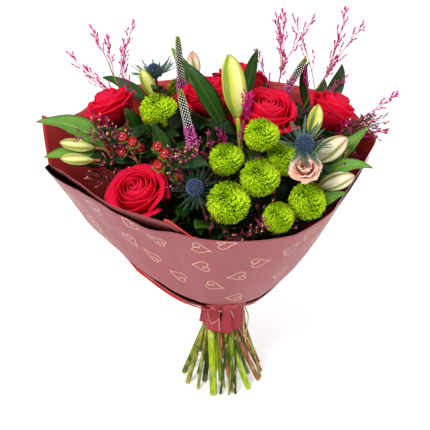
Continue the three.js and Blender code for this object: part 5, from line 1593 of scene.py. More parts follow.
def peach_bloom(shell, bloom):
    """A half-open bloom: one petal layer of three round its core, and two of four."""
    size = bloom["size"]
    turn, base = stance("peach", bloom, bloom["spin"])
    rng = np.random.default_rng(SEEDS["peach"])
    profile = [(0.02, 0.0), (0.2, 0.0), (0.32, 0.4), (0.12, 1.0), (0.01, 1.1)]
    add_core(shell, profile, 12, size, turn, base, 0.2, 0.3)
    for layer, count in enumerate((3, 4, 4)):
        for index in range(count):
            grid = peach_petal(size, index, count, layer, 6 * rng.random())
            add_blade(shell, grid @ turn.T + base, 0.4, rng.random())


def spike_reach(share):
    return 1.0 - 0.55 * share**10


def veronica_head(shell, bloom, number):
    """A spike of tiny buds in spirals, open and magenta at its foot."""
    size, length = bloom["size"], bloom["length"]
    turn, base = stance("spike", bloom)
    base = base - (HEAD_GAP + 1) * unit(bloom["facing"])
    rng = np.random.default_rng(SEEDS["veronica"] + number)
    profile = [(max(0.55 * size * spike_reach(s), 0.15), length * s) for s in np.linspace(0, 1, 14)]
    # The core takes the bud look at its foot, near black: painted shade between the buds.
    shell.add(placed(spun(profile, 12), turn, base), 0.0, 0.0, 0.9, 1)
    count = int(3.5 * length)
    share = ((np.arange(count) + 0.5) / count) ** 0.94
    azimuth = GOLDEN * np.arange(count)
    roots = around(azimuth, 0.53 * size * spike_reach(share), length * share * 0.985)
    lean = 0.25 + 1.1 * share**4
    out = around(azimuth, np.cos(lean), np.sin(lean))
    spins = 6.28 * rng.random(count)
    bud = teardrop(0.4, 1.0, 6, 5)
    frames = turns_to(out, spins) * (1.75 + 0.5 * spike_reach(share))[:, None, None]
    stage = np.clip(share + 0.05 * rng.normal(size=count), 0, 1)
    shell.add_copies(bud, turn @ frames, roots @ turn.T + base, along_of(bud, 1.0), 0.0, stage, 1)
    petal, marks = floret_solid(0.24, 0.5, 0.3)
    for k in range(5):
        chosen = (share < 0.36) & ((np.arange(count) + k) % 3 > 0)
        ways = units(out[chosen] + 0.55 * rng.normal(size=(chosen.sum(), 3)))
        frames = turns_to(ways, spins[chosen] + k) * (3.3 * (1 - share[chosen]))[:, None, None]
        places = (roots[chosen] + 1.2 * out[chosen]) @ turn.T + base
        shell.add_copies(petal, turn @ frames, places, *marks, rng.random(chosen.sum()), 2)


def thistle_head(shell, bloom, number):
    """A blue cone of short spiny florets."""
    size = bloom["size"]
    turn, base = stance("thistle", bloom)
    base = base - (HEAD_GAP + 1) * unit(bloom["facing"])
    rng = np.random.default_rng(SEEDS["thistle"] + number)
    profile = [(0.1, 0.02), (0.35, 0.04), (0.66, 0.3), (0.82, 0.85), (0.7, 1.35), (0.36, 1.66), (0.02, 1.74)]
    add_core(shell, profile, 18, size, turn, base, 0.2, 0.3, 1)
    order = np.arange(THISTLE_SPIKES)
    azimuth = GOLDEN * order
    height = 0.25 + 1.48 * (order + 0.5) / THISTLE_SPIKES
    radius = np.interp(height, [0.25, 0.85, 1.35, 1.66, 1.75], [0.6, 0.8, 0.66, 0.32, 0.04])
    lean = np.interp(height, [0.25, 0.85, 1.4, 1.75], [-0.25, 0.25, 0.75, 1.5])
    out = around(azimuth, np.cos(lean), np.sin(lean))
    out = units(out + 0.08 * rng.normal(size=out.shape))
    spike = teardrop(0.075, 0.3, 5, 5, 0.1)
    places = (size * around(azimuth, radius, height)) @ turn.T + base
    frames = turn @ (turns_to(out, azimuth) * size)
    shell.add_copies(spike, frames, places, along_of(spike, 0.3), 0.0, rng.random(THISTLE_SPIKES), 1)


def toothed_bract(shell, start, bend, tip, width):
    """A narrow bract with spines along its edges."""
    facing = unit(np.cross(np.cross(tip - start, UP), tip - start))
    fine_leaf(shell, (start, bend, tip, width, 0.0), facing=facing, rows=26, columns=5, teeth=1.1)


def small_bracts(shell, bloom, number):
    """A ruff of narrow spiny bracts round the foot of a thistle's head."""
    rng = np.random.default_rng(SEEDS["bract"] + number)
    size = bloom["size"]
    facing = unit(bloom["facing"])
    turn, base = stance("thistle", bloom)
    base = base + 0.15 * size * facing
    for k in range(SMALL_BRACTS):
        out = turn @ outwards(k * GOLDEN)
        reach = size * (1.9 + 0.8 * rng.random())
        rise = (0.25 + 0.75 * rng.random()) * reach
        start = base + 0.3 * size * out
        bend = start + 0.5 * reach * out + 0.2 * rise * facing
        toothed_bract(shell, start, bend, start + reach * out + rise * facing, 0.26 * size)


# Plants


def stems_of(it):
    """A plant's stem and branches, each widened below its bloom."""
    shell = Shell()
    own_flare = 0 if "fork" in it or "top" in it else FLARES.get(it["kind"], 0.8 * it["radius"])
    chance = RNG.random()
    fine_stem(shell, it["path"], 0.5 if "top" in it else 0.8, own_flare, chance, nodes=0.1)
    for branch, (shape, _) in zip(it["branches"], it["carried"]):
        fine_stem(shell, branch, 0.9, FLARES[shape], chance, stiff=False)
    return shell


def leaves_of(it):
    """A plant's own leaves, the small ones that fill the bouquet, and a rose's sepals."""
    shell = Shell()
    for leaf in it["leaves"] + MORE_LEAVES.get(it["name"], []):
        fine_leaf(shell, leaf)
    # The filling leaves take the deep look, which carries painted shade.
    for leaf in it["filling"]:
        fine_leaf(shell, leaf, 1, rows=10, columns=5)
    if it["kind"] == "rose":
        for sepal in sepal_leaves(it["goal"], it["facing"], 17, 5):
            fine_leaf(shell, sepal, facing=it["facing"], rows=12, columns=5)
    return shell


def more_stems(plants):
    """Straight thin stems between those of the plants, from inside the collar down to the floor."""
    rng = np.random.default_rng(SEEDS["thin_stem"])
    feet = np.array([it["path"]["points"][0][:2] for it in plants])
    ties = np.array([it["path"]["points"][1][:2] for it in plants])
    radii = np.array([1.06 * it["radius"] for it in plants])
    shares = np.linspace(0, 0.78, 14)[:, None, None]
    others = feet * (1 - shares) + ties * shares
    made = []
    for _ in range(9000):
        if len(made) == THIN_STEMS:
            break
        angle, radius = 2 * math.pi * rng.random(), 1.1 + 0.9 * rng.random()
        foot = (24 + 27 * rng.random()) * outwards(angle)[:2]
        angle += TIE_TURN + 0.6 * (rng.random() - 0.5)
        tie = 19 * rng.random() * outwards(angle)[:2]
        own = foot * (1 - shares) + tie * shares
        if (np.linalg.norm(others - own, axis=-1) > radii + radius + 0.25).all():
            made.append((foot, tie, radius))
            others = np.concatenate([others, own], 1)
            radii = np.append(radii, radius)
    return made


def dress_more_stems(plants):
    shells = {"stem_dark": Shell(), "stem_olive": Shell(), "stem_green": Shell()}
    for number, (foot, tie, radius) in enumerate(more_stems(plants)):
        path = [(*foot, 0.0), (*(foot + 0.38 * (tie - foot)), 40.0), (*(foot + 0.78 * (tie - foot)), 81.0)]
        shell = list(shells.values())[(0, 2, 1)[number % 3]]
        fine_stem(shell, {"points": path, "radius": radius}, 0.9, 0, RNG.random(), nodes=0.12, sides=9)
    for kind, shell in shells.items():
        shell.piece(f"thin_{kind}s", [LOOKS[kind]], "stem")


class Heads:
    """Centres, radii and facings of the blooms, which small leaves and twigs leave in view."""

    def __init__(self, plants):
        blooms = [bloom for it in plants for _, bloom in it["carried"]]
        self.centres = np.array([bloom["head"] for bloom in blooms], float)
        self.facings = np.array([unit(bloom["facing"]) for bloom in blooms])
        self.radii = np.array([max(bloom["size"], 0.35 * (bloom["length"] or 0)) for bloom in blooms], float)

    def in_view(self, samples, share):
        offset = samples[:, None] - self.centres[None]
        if (np.linalg.norm(offset, axis=-1) < 0.95 * self.radii).any():
            return False
        for way in (self.facings, CAMERA_WAY[None]):
            ahead = (offset * way[None]).sum(-1)
            beside = np.linalg.norm(offset - ahead[..., None] * way[None], axis=-1)
            if ((ahead > 0) & (beside < share * self.radii)).any():
                return False
        return True


def filling(it, heads):
    """Small leaves up a stem and its branches, which fill the bouquet between the blooms."""
    width = FILL_KINDS.get(it["kind"])
    if not width:
        return []
    rng = np.random.default_rng(SEEDS["filling"] + sum(map(ord, it["name"])))
    leaves = []
    for path in (it["path"], *it["branches"]):
        run = smooth_path(path["points"], 3.0)
        for place in run[run[:, 2] > 185][:-4][::4]:
            for _ in range(8):
                azimuth, lean = 6.283 * rng.random(), 0.35 + 0.75 * rng.random()
                length = width * (1.9 + 0.9 * rng.random())
                out = outwards(azimuth)
                bend = place + 0.6 * length * (math.cos(lean) * out + math.sin(lean) * UP)
                tip = place + length * (math.cos(lean - 0.5) * out + math.sin(lean - 0.5) * UP)
                leaf = (place, bend, tip, width * (0.85 + 0.3 * rng.random()), 0.12)
                samples = leaf_grid(*leaf).reshape(-1, 3)
                if bowl_clearance(samples).min() > 3 and heads.in_view(samples, 0.85):
                    leaves.append(leaf)
                    break
    return leaves


def in_box(points, margin):
    """Whether points keep a margin inside the box of the frame's parts."""
    return bool((points > BOX_LOW + margin).all() and (points < BOX_HIGH - margin).all())


def more_twigs(it, heads, count, deepest, spread, length):
    """Extra fine twigs of a spray, which leave the blooms in view and keep inside the paper."""
    rng = np.random.default_rng(SEEDS["twig"] + it["seed"])
    run = smooth_path(it["path"]["points"], 2.0)
    turn = turn_to(it["facing"])
    twigs = []
    for k in range(count):
        for _ in range(12):
            depth = deepest * rng.random()
            start = run[-1 - min(int(depth / 2), len(run) - 2)]
            lean = spread * (0.25 + 0.75 * math.sqrt(depth / deepest)) * (0.7 + 0.4 * rng.random())
            way = leaning(k * GOLDEN + rng.random(), lean, turn)
            reach = length * (0.65 + 0.55 * rng.random()) + 0.35 * depth
            shares = np.linspace(0, 1, 5)[:, None]
            sway = unit(np.cross(way, rng.normal(size=3)))
            twig = start + reach * (shares * way + 0.05 * np.sin(4 * shares) * sway + 0.1 * shares**2 * UP)
            if bowl_clearance(twig).min() > 7 and heads.in_view(twig[1:], 0.9) and in_box(twig, 10):
                twigs.append(twig)
                break
    return twigs


def dress_rose(it):
    bloom = Shell()
    rose_bloom(bloom, it["heads"][0], it["number"])
    bloom.piece(f"{it['name']}_petals", [LOOKS["rose"]], "rose_petal", f"{it['name']}_bloom")


def dress_thistle(it):
    bloom, name = it["heads"][0], it["name"]
    heads = Shell()
    thistle_head(heads, bloom, it["number"])
    for start, bend, tip in it["bracts"]:
        toothed_bract(heads, start, bend, tip, 0.5 * bloom["size"])
    small_bracts(heads, bloom, it["number"])
    # thistle_2's bracts take the darker copy of the grey leaf: painted shade.
    bract = LOOKS["dusk_leaf" if name == "thistle_2" else "grey_leaf"]
    heads.piece(f"{name}_head", [bract, LOOKS["thistle"]], "thistle_blue", name)


def dress_veronica(it):
    heads = Shell()
    veronica_head(heads, it["heads"][0], it["number"])
    looks = [LOOKS["strap"], LOOKS["veronica"], LOOKS["veronica_open"]]
    heads.piece(f"{it['name']}_spike", looks, "veronica_floret", it["name"])


def dress_pompom(it):
    for bloom in it["heads"]:
        number = next(POMPOM_NUMBERS)
        heads = Shell()
        pompom_head(heads, bloom, number)
        heads.piece(f"pompom_florets_{number}", [LOOKS["pompom"]], "green_petal", f"pompom_head_{number}")


def dress_lily(it):
    for bloom in it["heads"]:
        node = f"lily_bud_{next(BUD_NUMBERS)}"
        heads = Shell()
        add_bud(heads, bloom, head_base("bud", bloom), 0.0)
        heads.piece(f"{node}_tepals", [LOOKS["lily"]], "lily_bud", node)


def dress_alstroemeria(it):
    name = it["name"]
    heads = Shell()
    for bloom in it["heads"]:
        base = head_base("bud", bloom) - (HEAD_GAP + 1) * unit(bloom["facing"])
        add_bud(heads, bloom, base, BUD_BLUSH[name], lobes=5, depth=0.13, twist=0.5)
    bud = LOOKS["green_bud" if name == "alstroemeria_1" else "alstroemeria"]
    heads.piece(f"{name}_buds", [bud], "cream_bud", name)
    if "bloom" in it:
        heads = Shell()
        peach_bloom(heads, it["bloom"])
        heads.piece("peach_bloom_petals", [LOOKS["peach"]], "peach_petal", "peach_bloom")


def dress_berries(it, stems):
    """Glossy berries, each on its stalk with five rounded sepals round its foot."""
    rng = np.random.default_rng(it["seed"])
    shell = Shell()
    profile = BERRY_RADIUS * np.array([
        (0.06, -1.0), (0.34, -0.96), (0.66, -0.76), (0.92, -0.38), (1.0, 0.0), (0.94, 0.36), (0.74, 0.7),
        (0.44, 0.94), (0.14, 1.05), (0.03, 1.16),
    ])
    share = np.repeat(np.linspace(0, 1, len(profile)), 24)
    for start, centre in it["berries"]:
        way = unit(centre - start)
        turn = turn_to(way, 6 * rng.random())
        shell.add(placed(spun(profile, 24), turn, centre), share, 0.0, rng.random())
        foot = centre - 0.9 * BERRY_RADIUS * way
        add_tube(stems, smooth_path([start, 0.5 * (start + foot) + 0.8 * UP, foot], 2.0), 0.8, 7, 0.5)
        for k in range(5):
            out = turn @ outwards(1.257 * k)
            leaf = (foot, foot + 5.5 * out - 1.0 * way, foot + 8.0 * out + 2.6 * way, 5.6, 0.0)
            fine_leaf(shell, leaf, 1, facing=way, rows=8, columns=5)
    shell.piece(f"{it['name']}_berries", [LOOKS["berry"], LOOKS["strap"]], "berry_spray", it["name"])


SEED = teardrop(0.82, 5.0, 5, 4)


def add_seeds(shell, places, ways, scale, rng, solid, length):
    frames = turns_to(ways, 6.28 * rng.random(len(places))) * scale[:, None, None]
    shell.add_copies(solid, frames, places, along_of(solid, length), 0.0, rng.random(len(places)))


def grass_branch(shell, start, way, length, rng):
    """A hair-thin branchlet with narrow spikelets on alternate sides."""
    side = unit(np.cross(way, rng.normal(size=3)))
    while length > 2 and not in_box(start + (length + 4) * way, -4):
        length *= 0.7
    shares = np.linspace(0, 1, 6)
    points = start + way * length * shares[:, None] + side * 0.06 * length * np.sin(3 * shares)[:, None]
    add_tube(shell, points, np.linspace(0.28, 0.18, 6), 4, rng.random())
    stops = np.linspace(0.45, 1.0, 3)
    places = np.stack([np.interp(stops, shares, points[:, k]) for k in range(3)], 1)
    ways = way + 0.25 * side * np.array([-1, 1, -1])[:, None] + 0.1 * rng.normal(size=(3, 3))
    add_seeds(shell, places, units(ways), 0.85 + 0.4 * rng.random(3), rng, SEED, 4.8)


def dress_grass(it):
    """Fine panicles with branchlets in spirals along every twig."""
    rng = np.random.default_rng(it["seed"])
    shell = Shell()
    for twig in it["twigs"]:
        path = smooth_path(twig, 2.0)
        last = len(path) - 1
        add_tube(shell, path, np.linspace(0.5, 0.25, len(path)), 5, rng.random())
        length = np.linalg.norm(twig[-1] - twig[0])
        for k in range(6):
            share = 0.3 + 0.65 * k / 5
            index = max(1, min(int(share * last), last - 2))
            ahead = unit(path[index + 2] - path[index - 1])
            way = unit(ahead + 0.32 * (turn_to(ahead) @ outwards(GOLDEN * k)))
            grass_branch(shell, path[index], way, 0.3 * length * (1.1 - 0.6 * share), rng)
        grass_branch(shell, path[-1], unit(path[-1] - path[-3]), 0.16 * length, rng)
    shell.piece(f"{it['name']}_panicle", [LOOKS["grass"]], "magenta_grass", it["name"])


BUD = teardrop(0.9, 2.8, 4, 4)


def dress_florets(it):
    """Short stalks in spirals along every twig, each with a few tiny buds."""
    rng = np.random.default_rng(it["seed"])
    shell = Shell()
    for twig in it["twigs"]:
        path = smooth_path(twig, 2.0)
        last = len(path) - 1
        add_tube(shell, path, np.linspace(0.7, 0.3, len(path)), 5, rng.random(), 1)
        length = np.linalg.norm(twig[-1] - twig[0])
        for k in range(8):
            index = int((0.25 + 0.75 * k / 8) * (last - 1))
            ahead = unit(path[index + 1] - path[index])
            way = unit(ahead + 0.75 * (turn_to(ahead) @ outwards(GOLDEN * k)))
            reach = min(13, 0.28 * length) * (0.7 + 0.6 * rng.random())
            arch = np.array([0, 0.4, 0])[:, None] * UP
            stalk = path[index] + reach * np.array([0, 0.5, 1])[:, None] * way + arch
            if bowl_clearance(stalk).min() < 5:
                continue
            add_tube(shell, stalk, [0.35, 0.3, 0.25], 4, 0.5, 1)
            ways = units(way + 0.7 * rng.normal(size=(5, 3)))
            places = path[index] + np.linspace(0.55, 1, 5)[:, None] * reach * way
            add_seeds(shell, places, ways, 0.8 + 0.45 * rng.random(5), rng, BUD, 2.8)
    shell.piece(f"{it['name']}_sprays", [LOOKS["floret"], LOOKS["twig"]], "mauve_floret", it["name"])


DRESSERS = {
    "rose": dress_rose, "thistle": dress_thistle, "veronica": dress_veronica, "pompom": dress_pompom,
    "lily": dress_lily, "alstroemeria": dress_alstroemeria, "grass": dress_grass, "floret": dress_florets,
}


def dress_plant(it):
    """A plant's stems, leaves and blooms, in this order because they draw from one run of random numbers."""
    kind, name = it["kind"], it["name"]
    stems = stems_of(it)
    leaves = leaves_of(it)
    if kind == "hypericum":
        dress_berries(it, stems)
    elif kind in DRESSERS:
        DRESSERS[kind](it)
    node = f"{name}_stem" if kind in ("rose", "pompom", "lily") else name
    stems.piece(f"{name}_stalk", [LOOKS[STEMS_APART.get(name, STEM_KINDS[kind])]], "stem", node)
    if leaves.count:
        leaves.piece(f"{name}_leaves", [LOOKS[LEAF_KINDS.get(kind, "dark")], LOOKS["deep"]], "leaf", node)


# Paper


def folds_round(azimuth, share, seed, count):
    """Sharp, uneven folds round the neck, from -1 to 1, which change from their low end to their high end."""
    rng = np.random.default_rng(seed)
    places = (np.arange(count) + 0.7 * rng.random(count)) * 2 * np.pi / count
    signs = np.where(np.arange(count) % 2, 1, -1)
    low, high = signs * (0.15 + 0.85 * rng.random(count)), signs * (0.3 + 0.7 * rng.random(count))
    moved = azimuth + 0.16 * (1 - share) * np.sin(2 * azimuth + 1)
    low, high = [np.interp(moved, places, values, period=2 * np.pi) for values in (low, high)]
    return low + (high - low) * share


def paper(shell, grid, closed, painted_shade):
    """A sheet over a grid of points. Look 0 is on its outer face and edges, and look 1 on its inner face."""
    rows, columns = grid.shape[:2]
    wide = np.concatenate([grid[:, -1:], grid, grid[:, :1]], 1) if closed else grid
    normal = normals_of(wide)[:, 1:-1] if closed else normals_of(wide)
    outer = np.arange(rows * columns).reshape(rows, columns)
    if closed:
        outer = np.concatenate([outer, outer[:, :1]], 1)
    inner = outer + rows * columns
    half = 0.5 * SHEET_THICKNESS * normal
    points = np.concatenate([(grid - half).reshape(-1, 3), (grid + half).reshape(-1, 3)])
    edges = [(outer[0], inner[0]), (inner[-1], outer[-1])]
    if not closed:
        edges += [(inner[:, 0], outer[:, 0]), (outer[:, -1], inner[:, -1])]
    faces = [quads_of(outer)[:, ::-1], quads_of(inner), *[quads_of(np.stack(edge)) for edge in edges]]
    along = np.tile(np.repeat(np.linspace(0, 1, rows), columns), 2)
    across = np.tile((painted_shade * np.ones((rows, columns))).ravel(), 2)
    shell.add((points, faces), along, across, 0.5)
    shell.looks[1 - len(faces)][:] = 1


def soft_waves(azimuth, share):
    """How far the inner sheet's soft waves stand out, at a share of its height above the tie."""
    return 1.6 * np.sin(7 * azimuth + 1.3) * share * (1 - share)


def inner_rows():
    """The inner sheet, from the crumpled hem of its collar up to its rim."""
    azimuth = 2 * np.pi * np.arange(SHEET_TURNS) / SHEET_TURNS
    degrees = np.degrees(azimuth)
    hem = COLLAR_HEM + 2.5 * np.sin(2 * azimuth + 1.0) + 4.5 * np.abs(folds_round(azimuth, 0, 8, 12))
    rows = []
    for share in np.linspace(0, 1, 18):
        flare = 1.4 * (1 - share) ** 1.3
        depth = 0.5 + 2.4 * (1 - share) ** 0.6
        crumple = 0.9 * (1 - share) * folds_round(azimuth + 0.5 * share, share, 5, 57)
        radius = Bowl.neck + flare + crumple + depth * folds_round(azimuth, share, 3, COLLAR_FOLDS)
        rows.append(around(azimuth, radius, hem + share * (COLLAR_TOP - hem)))
    rim_height = read_rim(INNER_RIM, azimuth)[1]
    hem_height = np.interp(degrees, *zip(*[row[:2] for row in HEM]), left=0, right=0)
    bulge = 4.0 * np.exp(-(((degrees - 314) / 14) ** 2))
    crease = folds_round(azimuth, 1, 3, COLLAR_FOLDS)
    for share in np.concatenate([[0], np.linspace(0.05, 1, 46) ** 2.0]):
        height = BOWL_BOTTOM + share * (rim_height - BOWL_BOTTOM)
        depth = (0.5 + 5 * math.sqrt(share) * max(0, 1 - 3.2 * share) ** 2) * max(0, 1 - 2.2 * share)
        soft = soft_waves(azimuth, share)
        below = smoothstep(height, BOWL_BOTTOM, BOWL_BOTTOM + 12) * smoothstep(hem_height - height, -2, 9)
        radius = bowl_radius(azimuth, height) + depth * crease + soft + bulge * below
        rows.append(around(azimuth, radius, height))
    return np.array(rows)


def painted_shade_on_inner_sheet(grid):
    """Painted shade on the inner sheet's outer face: dark where the outer sheet covers it, a painted shadow
    below the outer sheet's hem, and a painted shadow above the lower fold.
    """
    azimuth = np.arctan2(grid[..., 1], grid[..., 0]) % (2 * np.pi)
    degrees = np.degrees(azimuth)
    height = grid[..., 2]
    low, high = read_rim(HEM, azimuth)[0], read_rim(OUTER_RIM, azimuth)[1]
    shade_end = low - np.interp(degrees, *zip(*SHADE_DEPTHS))
    shaded = smoothstep(height, shade_end - 1.5, shade_end + 1.5) - smoothstep(height, high - 1, high + 4)
    edge = np.interp(degrees, *zip(*FOLD_EDGE))
    # A painted shadow stripe just above the lower fold's free edge.
    above_fold = smoothstep(height, edge - 6, edge - 3) * (1 - smoothstep(height, edge + 15, edge + 26))
    above_fold = above_fold * smoothstep(degrees, 204, 216) * (1 - smoothstep(degrees, 254, 258))
    ends = smoothstep(degrees, 184, 190) * (1 - smoothstep(degrees, 343, 350))
    return np.maximum(shaded * ends, above_fold)


def off_bowl(azimuth, height, distance):
    """Points at a distance outside the inner sheet, square to it."""
    slope = (bowl_radius(azimuth, height + 1) - bowl_radius(azimuth, height - 1)) / 2
    lean = np.hypot(1, slope)
    return around(azimuth, bowl_radius(azimuth, height) + distance / lean, height - distance * slope / lean)


def dress_lower_fold():
    """The red fold of the inner sheet that stands off it below the outer sheet's hem."""
    degrees = np.linspace(FOLD_EDGE[0][0], FOLD_EDGE[-1][0], 90)
    azimuth = np.radians(degrees)
    edge = np.interp(degrees, *zip(*FOLD_EDGE)) + 1.2 * folds_round(azimuth, 0, 21, 40)
    fade = smoothstep(degrees, 196, 208) * (1 - smoothstep(degrees, 250, 257))
    rows = []
    for share in np.linspace(0, 1, 10):
        lift = 0.8 + FOLD_LIFT * share * fade + 0.5 * share * folds_round(azimuth, share, 22, 31)
        rows.append(off_bowl(azimuth, edge - FOLD_DEPTH * (1 - share), lift))
    shell = Shell()
    add_blade(shell, np.array(rows), SHEET_THICKNESS, 0.5)
    shell.piece("wrap_lower_fold", [LOOKS["paper_edge"]], "red_paper")


def dress_inner_sheet():
    """The inner sheet, with a short curled fold at its rim."""
    shell = Shell()
    grid = inner_rows()
    # The outer face carries painted shade below the outer sheet's hem and above the lower fold.
    paper(shell, grid, True, painted_shade_on_inner_sheet(grid))
    azimuth = np.radians(np.linspace(245.0, 258.0, 30))
    radius, height = read_rim(INNER_RIM, azimuth)
    fold = []
    for share in np.linspace(0, 1, 10):
        rise = 0.7 + 2.2 * math.sin(2.2 * math.pi * share) - 6 * share**2
        fold.append(around(azimuth, radius - 8 * share, height + rise))
    add_blade(shell, np.array(fold), SHEET_THICKNESS, 0.5, 2)
    looks = [LOOKS["paper_outer_face"], LOOKS["paper_in"], LOOKS["paper_fold"]]
    shell.piece("wrap_inner_paper", looks, "red_paper", "wrap_inner_sheet")


def flap_point(degrees, share):
    """Middle of the flap that is folded over the tie, at azimuths in degrees and a share of its height."""
    azimuth = np.radians(degrees)
    hem = COLLAR_HEM + 3.0 * np.sin(np.radians(2.3 * degrees)) + 2.0 * folds_round(azimuth, 0, 13, 19)
    top = BOWL_BOTTOM - 0.6 + 31 * np.exp(-(((degrees - FLAP_MIDDLE) / 23) ** 6))
    height = hem + share * (top - hem)
    lean = bowl_radius(azimuth, np.maximum(height, BOWL_BOTTOM)) + 1.8
    radius = np.maximum(Bowl.neck + 3.6, lean) + 0.6 * (1 - share) + flap_fold(degrees, share)
    return around(azimuth, radius, height)


def flap_fold(degrees, share):
    """How far the flap's folds stand out: sharp pleats, one deep slit and fine creases."""
    azimuth = np.radians(degrees)
    pleats = 2.6 * (1.15 - share) * folds_round(azimuth, share, 11, 23)
    creases = 0.8 * folds_round(azimuth, share, 12, 61)
    slit = 5.0 * np.exp(-(((degrees - 259 - 8 * share) / 3.4) ** 2)) * smoothstep(share, 0.15, 0.45)
    return pleats + creases - slit


def dress_flap():
    degrees = np.linspace(188, 322, 220)[None]
    share = np.linspace(0, 1, 22)[:, None]
    # valley is painted shade: the paper darkens in the hollows of the folds.
    valley = np.clip(-0.4 * flap_fold(degrees, share) - 0.12, 0, 0.95)
    shell = Shell()
    paper(shell, flap_point(degrees, share), False, valley)
    shell.piece("wrap_collar_flap", [LOOKS["paper_collar"], LOOKS["paper_in"]], "red_paper")


def print_lines():
    """Lines of print on the flap, where its folds break up the hearts."""
    shell = Shell()
    for line in FLAP_LINES:
        places = smooth_path([(*place, 0) for place in line], 0.5)
        centres = np.array([flap_point(degrees, share) for degrees, share, _ in places])
        out = centres * np.array([1, 1, 0]) / np.linalg.norm(centres[:, :2], axis=1, keepdims=True)
        ribbon(shell, centres + 0.5 * out, out, 0.8)
    shell.piece("wrap_collar_print", [LOOKS["gold"]], "red_paper")


def outer_point(degrees, share):
    """Middle of the outer sheet at azimuths in degrees and a share of its height."""
    azimuth = np.radians(degrees)
    hem, stand_off = read_rim(HEM, azimuth)
    rim = read_rim(OUTER_RIM, azimuth)[1]
    gape = 7 * np.maximum(0, 1 - np.abs(degrees - 200) / 20) * share**1.7
    gape = gape + 5 * np.exp(-(((degrees - 240) / 7) ** 2)) * smoothstep(share, 0.72, 1.0)
    offset = SHEET_OFFSET + (stand_off - SHEET_OFFSET) * np.maximum(0, 1 - 2.2 * share) + gape
    return off_bowl(azimuth, hem + share * (rim - hem), offset)


def dress_outer_sheet():
    degrees = np.linspace(184, 350, 150)
    rows = [outer_point(degrees, share + 0 * degrees) for share in np.linspace(0, 1, 44)]
    shell = Shell()
    # The inner face is painted near black round the front left: painted shade in the gap between the two
    # sheets.
    dark = 1 - smoothstep(np.abs(degrees - 212), 30, 45)
    paper(shell, np.array(rows), False, dark[None])
    looks = [LOOKS["paper_out"], LOOKS["paper_gap"]]
    shell.piece("wrap_outer_paper", looks, "rose_paper", "wrap_outer_sheet")


def heart_outline():
    """A heart drawn in one stroke, which starts with a curl inside its right lobe. Its point is at -Y."""
    t = np.linspace(0.3, 2 * math.pi - 0.02, 48)
    y = 13 * np.cos(t) - 5 * np.cos(2 * t) - 2 * np.cos(3 * t) - np.cos(4 * t)
    lobes = np.stack([15 * np.sin(t) ** 3, np.where(y < 0, 1.25 * y, y)], 1)
    return np.concatenate([smooth_path([(7.5, 3.0), (5.0, -0.5), (1.6, 1.0), (0.8, 4.0)], 1.2), lobes]) / 17


def ribbon(shell, centres, normals, width):
    """A thin flat line of print along points of a surface."""
    half = 0.5 * width * units(np.cross(np.gradient(centres, axis=0), normals))
    thick = PRINT_THICKNESS * normals
    solid = ring_solid(np.stack([centres + half, centres + thick, centres - half, centres - thick], 1))
    shell.add(solid, np.repeat(np.linspace(0, 1, len(centres)), 4), 0.0, 0.5)


def inner_point(degrees, share):
    """Outer face of the inner sheet at azimuths in degrees and a share of its height above the tie."""
    azimuth = np.radians(degrees)
    height = BOWL_BOTTOM + share * (read_rim(INNER_RIM, azimuth)[1] - BOWL_BOTTOM)
    return around(azimuth, bowl_radius(azimuth, height) + soft_waves(azimuth, share), height)


def back_hearts():
    """Hearts spread evenly over the back of the inner sheet, as azimuth, share of its height, turn."""
    rng = np.random.default_rng(SEEDS["heart"])
    return [
        (-5 + 187 * ((k * 0.618 + 0.1) % 1), 0.22 + 0.72 * (k + 0.5) / BACK_HEARTS, 360 * rng.random())
        for k in range(BACK_HEARTS)
    ]


def dress_hearts(name, hearts, surface):
    """Printed hearts on a surface that gives points for azimuths in degrees and shares of its height."""
    shell = Shell()
    x, y = heart_outline().T
    for number, (degrees, share, turn) in enumerate(hearts):
        cosine, sine = math.cos(math.radians(turn)), math.sin(math.radians(turn))
        scale = HEART_SIZE * (1 + 0.08 * np.sin(3 * np.linspace(0, 6.28, len(x)) + number))
        middle, beside, above = surface(degrees + np.array([0, 1.0, 0]), share + np.array([0, 0, 0.01]))
        azimuths = degrees + scale * (x * cosine - y * sine) / np.linalg.norm(beside - middle)
        shares = share + 0.01 * scale * (x * sine + y * cosine) / np.linalg.norm(above - middle)
        shares = np.clip(shares, 0.01, 0.985)
        points = surface(azimuths, shares)
        beside, above = surface(azimuths + 0.5, shares), surface(azimuths, shares + 0.01)
        normals = units(np.cross(beside - points, above - points))
        normals *= np.where((normals[:, :2] * points[:, :2]).sum(1) > 0, 1, -1)[:, None]
        ribbon(shell, points + normals * 0.27, normals, 0.95)
    shell.piece(name, [LOOKS["gold"]], "rose_paper")


# Cords


def twisted(shell, path, radius):
    """Two plies laid round each other along a path."""
    path = np.asarray(path, float)
    side, other = frames_along(path)
    distance = np.concatenate([[0], np.cumsum(np.linalg.norm(np.diff(path, axis=0), axis=1))])
    for ply in (0, math.pi):
        angle = (2 * math.pi * distance / PLY_PITCH + ply)[:, None]
        centre = path + 0.46 * radius * (side * np.cos(angle) + other * np.sin(angle))
        add_tube(shell, centre, 0.56 * radius, 7, 0.5)


def two_turns(shell, inside, radius, steps, start=0.0):
    """Two turns of cord round the bundle, side by side at the tie's height."""
    turns = np.linspace(0, 4 * math.pi, steps)
    height = TIE_HEIGHT - radius + 2 * radius * turns / (4 * math.pi)
    twisted(shell, around(turns + start, inside + radius, height), radius)


def dress_cords():
    """The two hanging strands of the twine."""
    for name, points in (("twine_strand_1", STRAND_1), ("twine_strand_2", STRAND_2)):
        path = smooth_path(points, 0.5)
        shell = Shell()
        twisted(shell, path, TWINE_RADIUS)
        strand = shell.piece(f"{name}_cord", [LOOKS["twine"]], "twine", name)


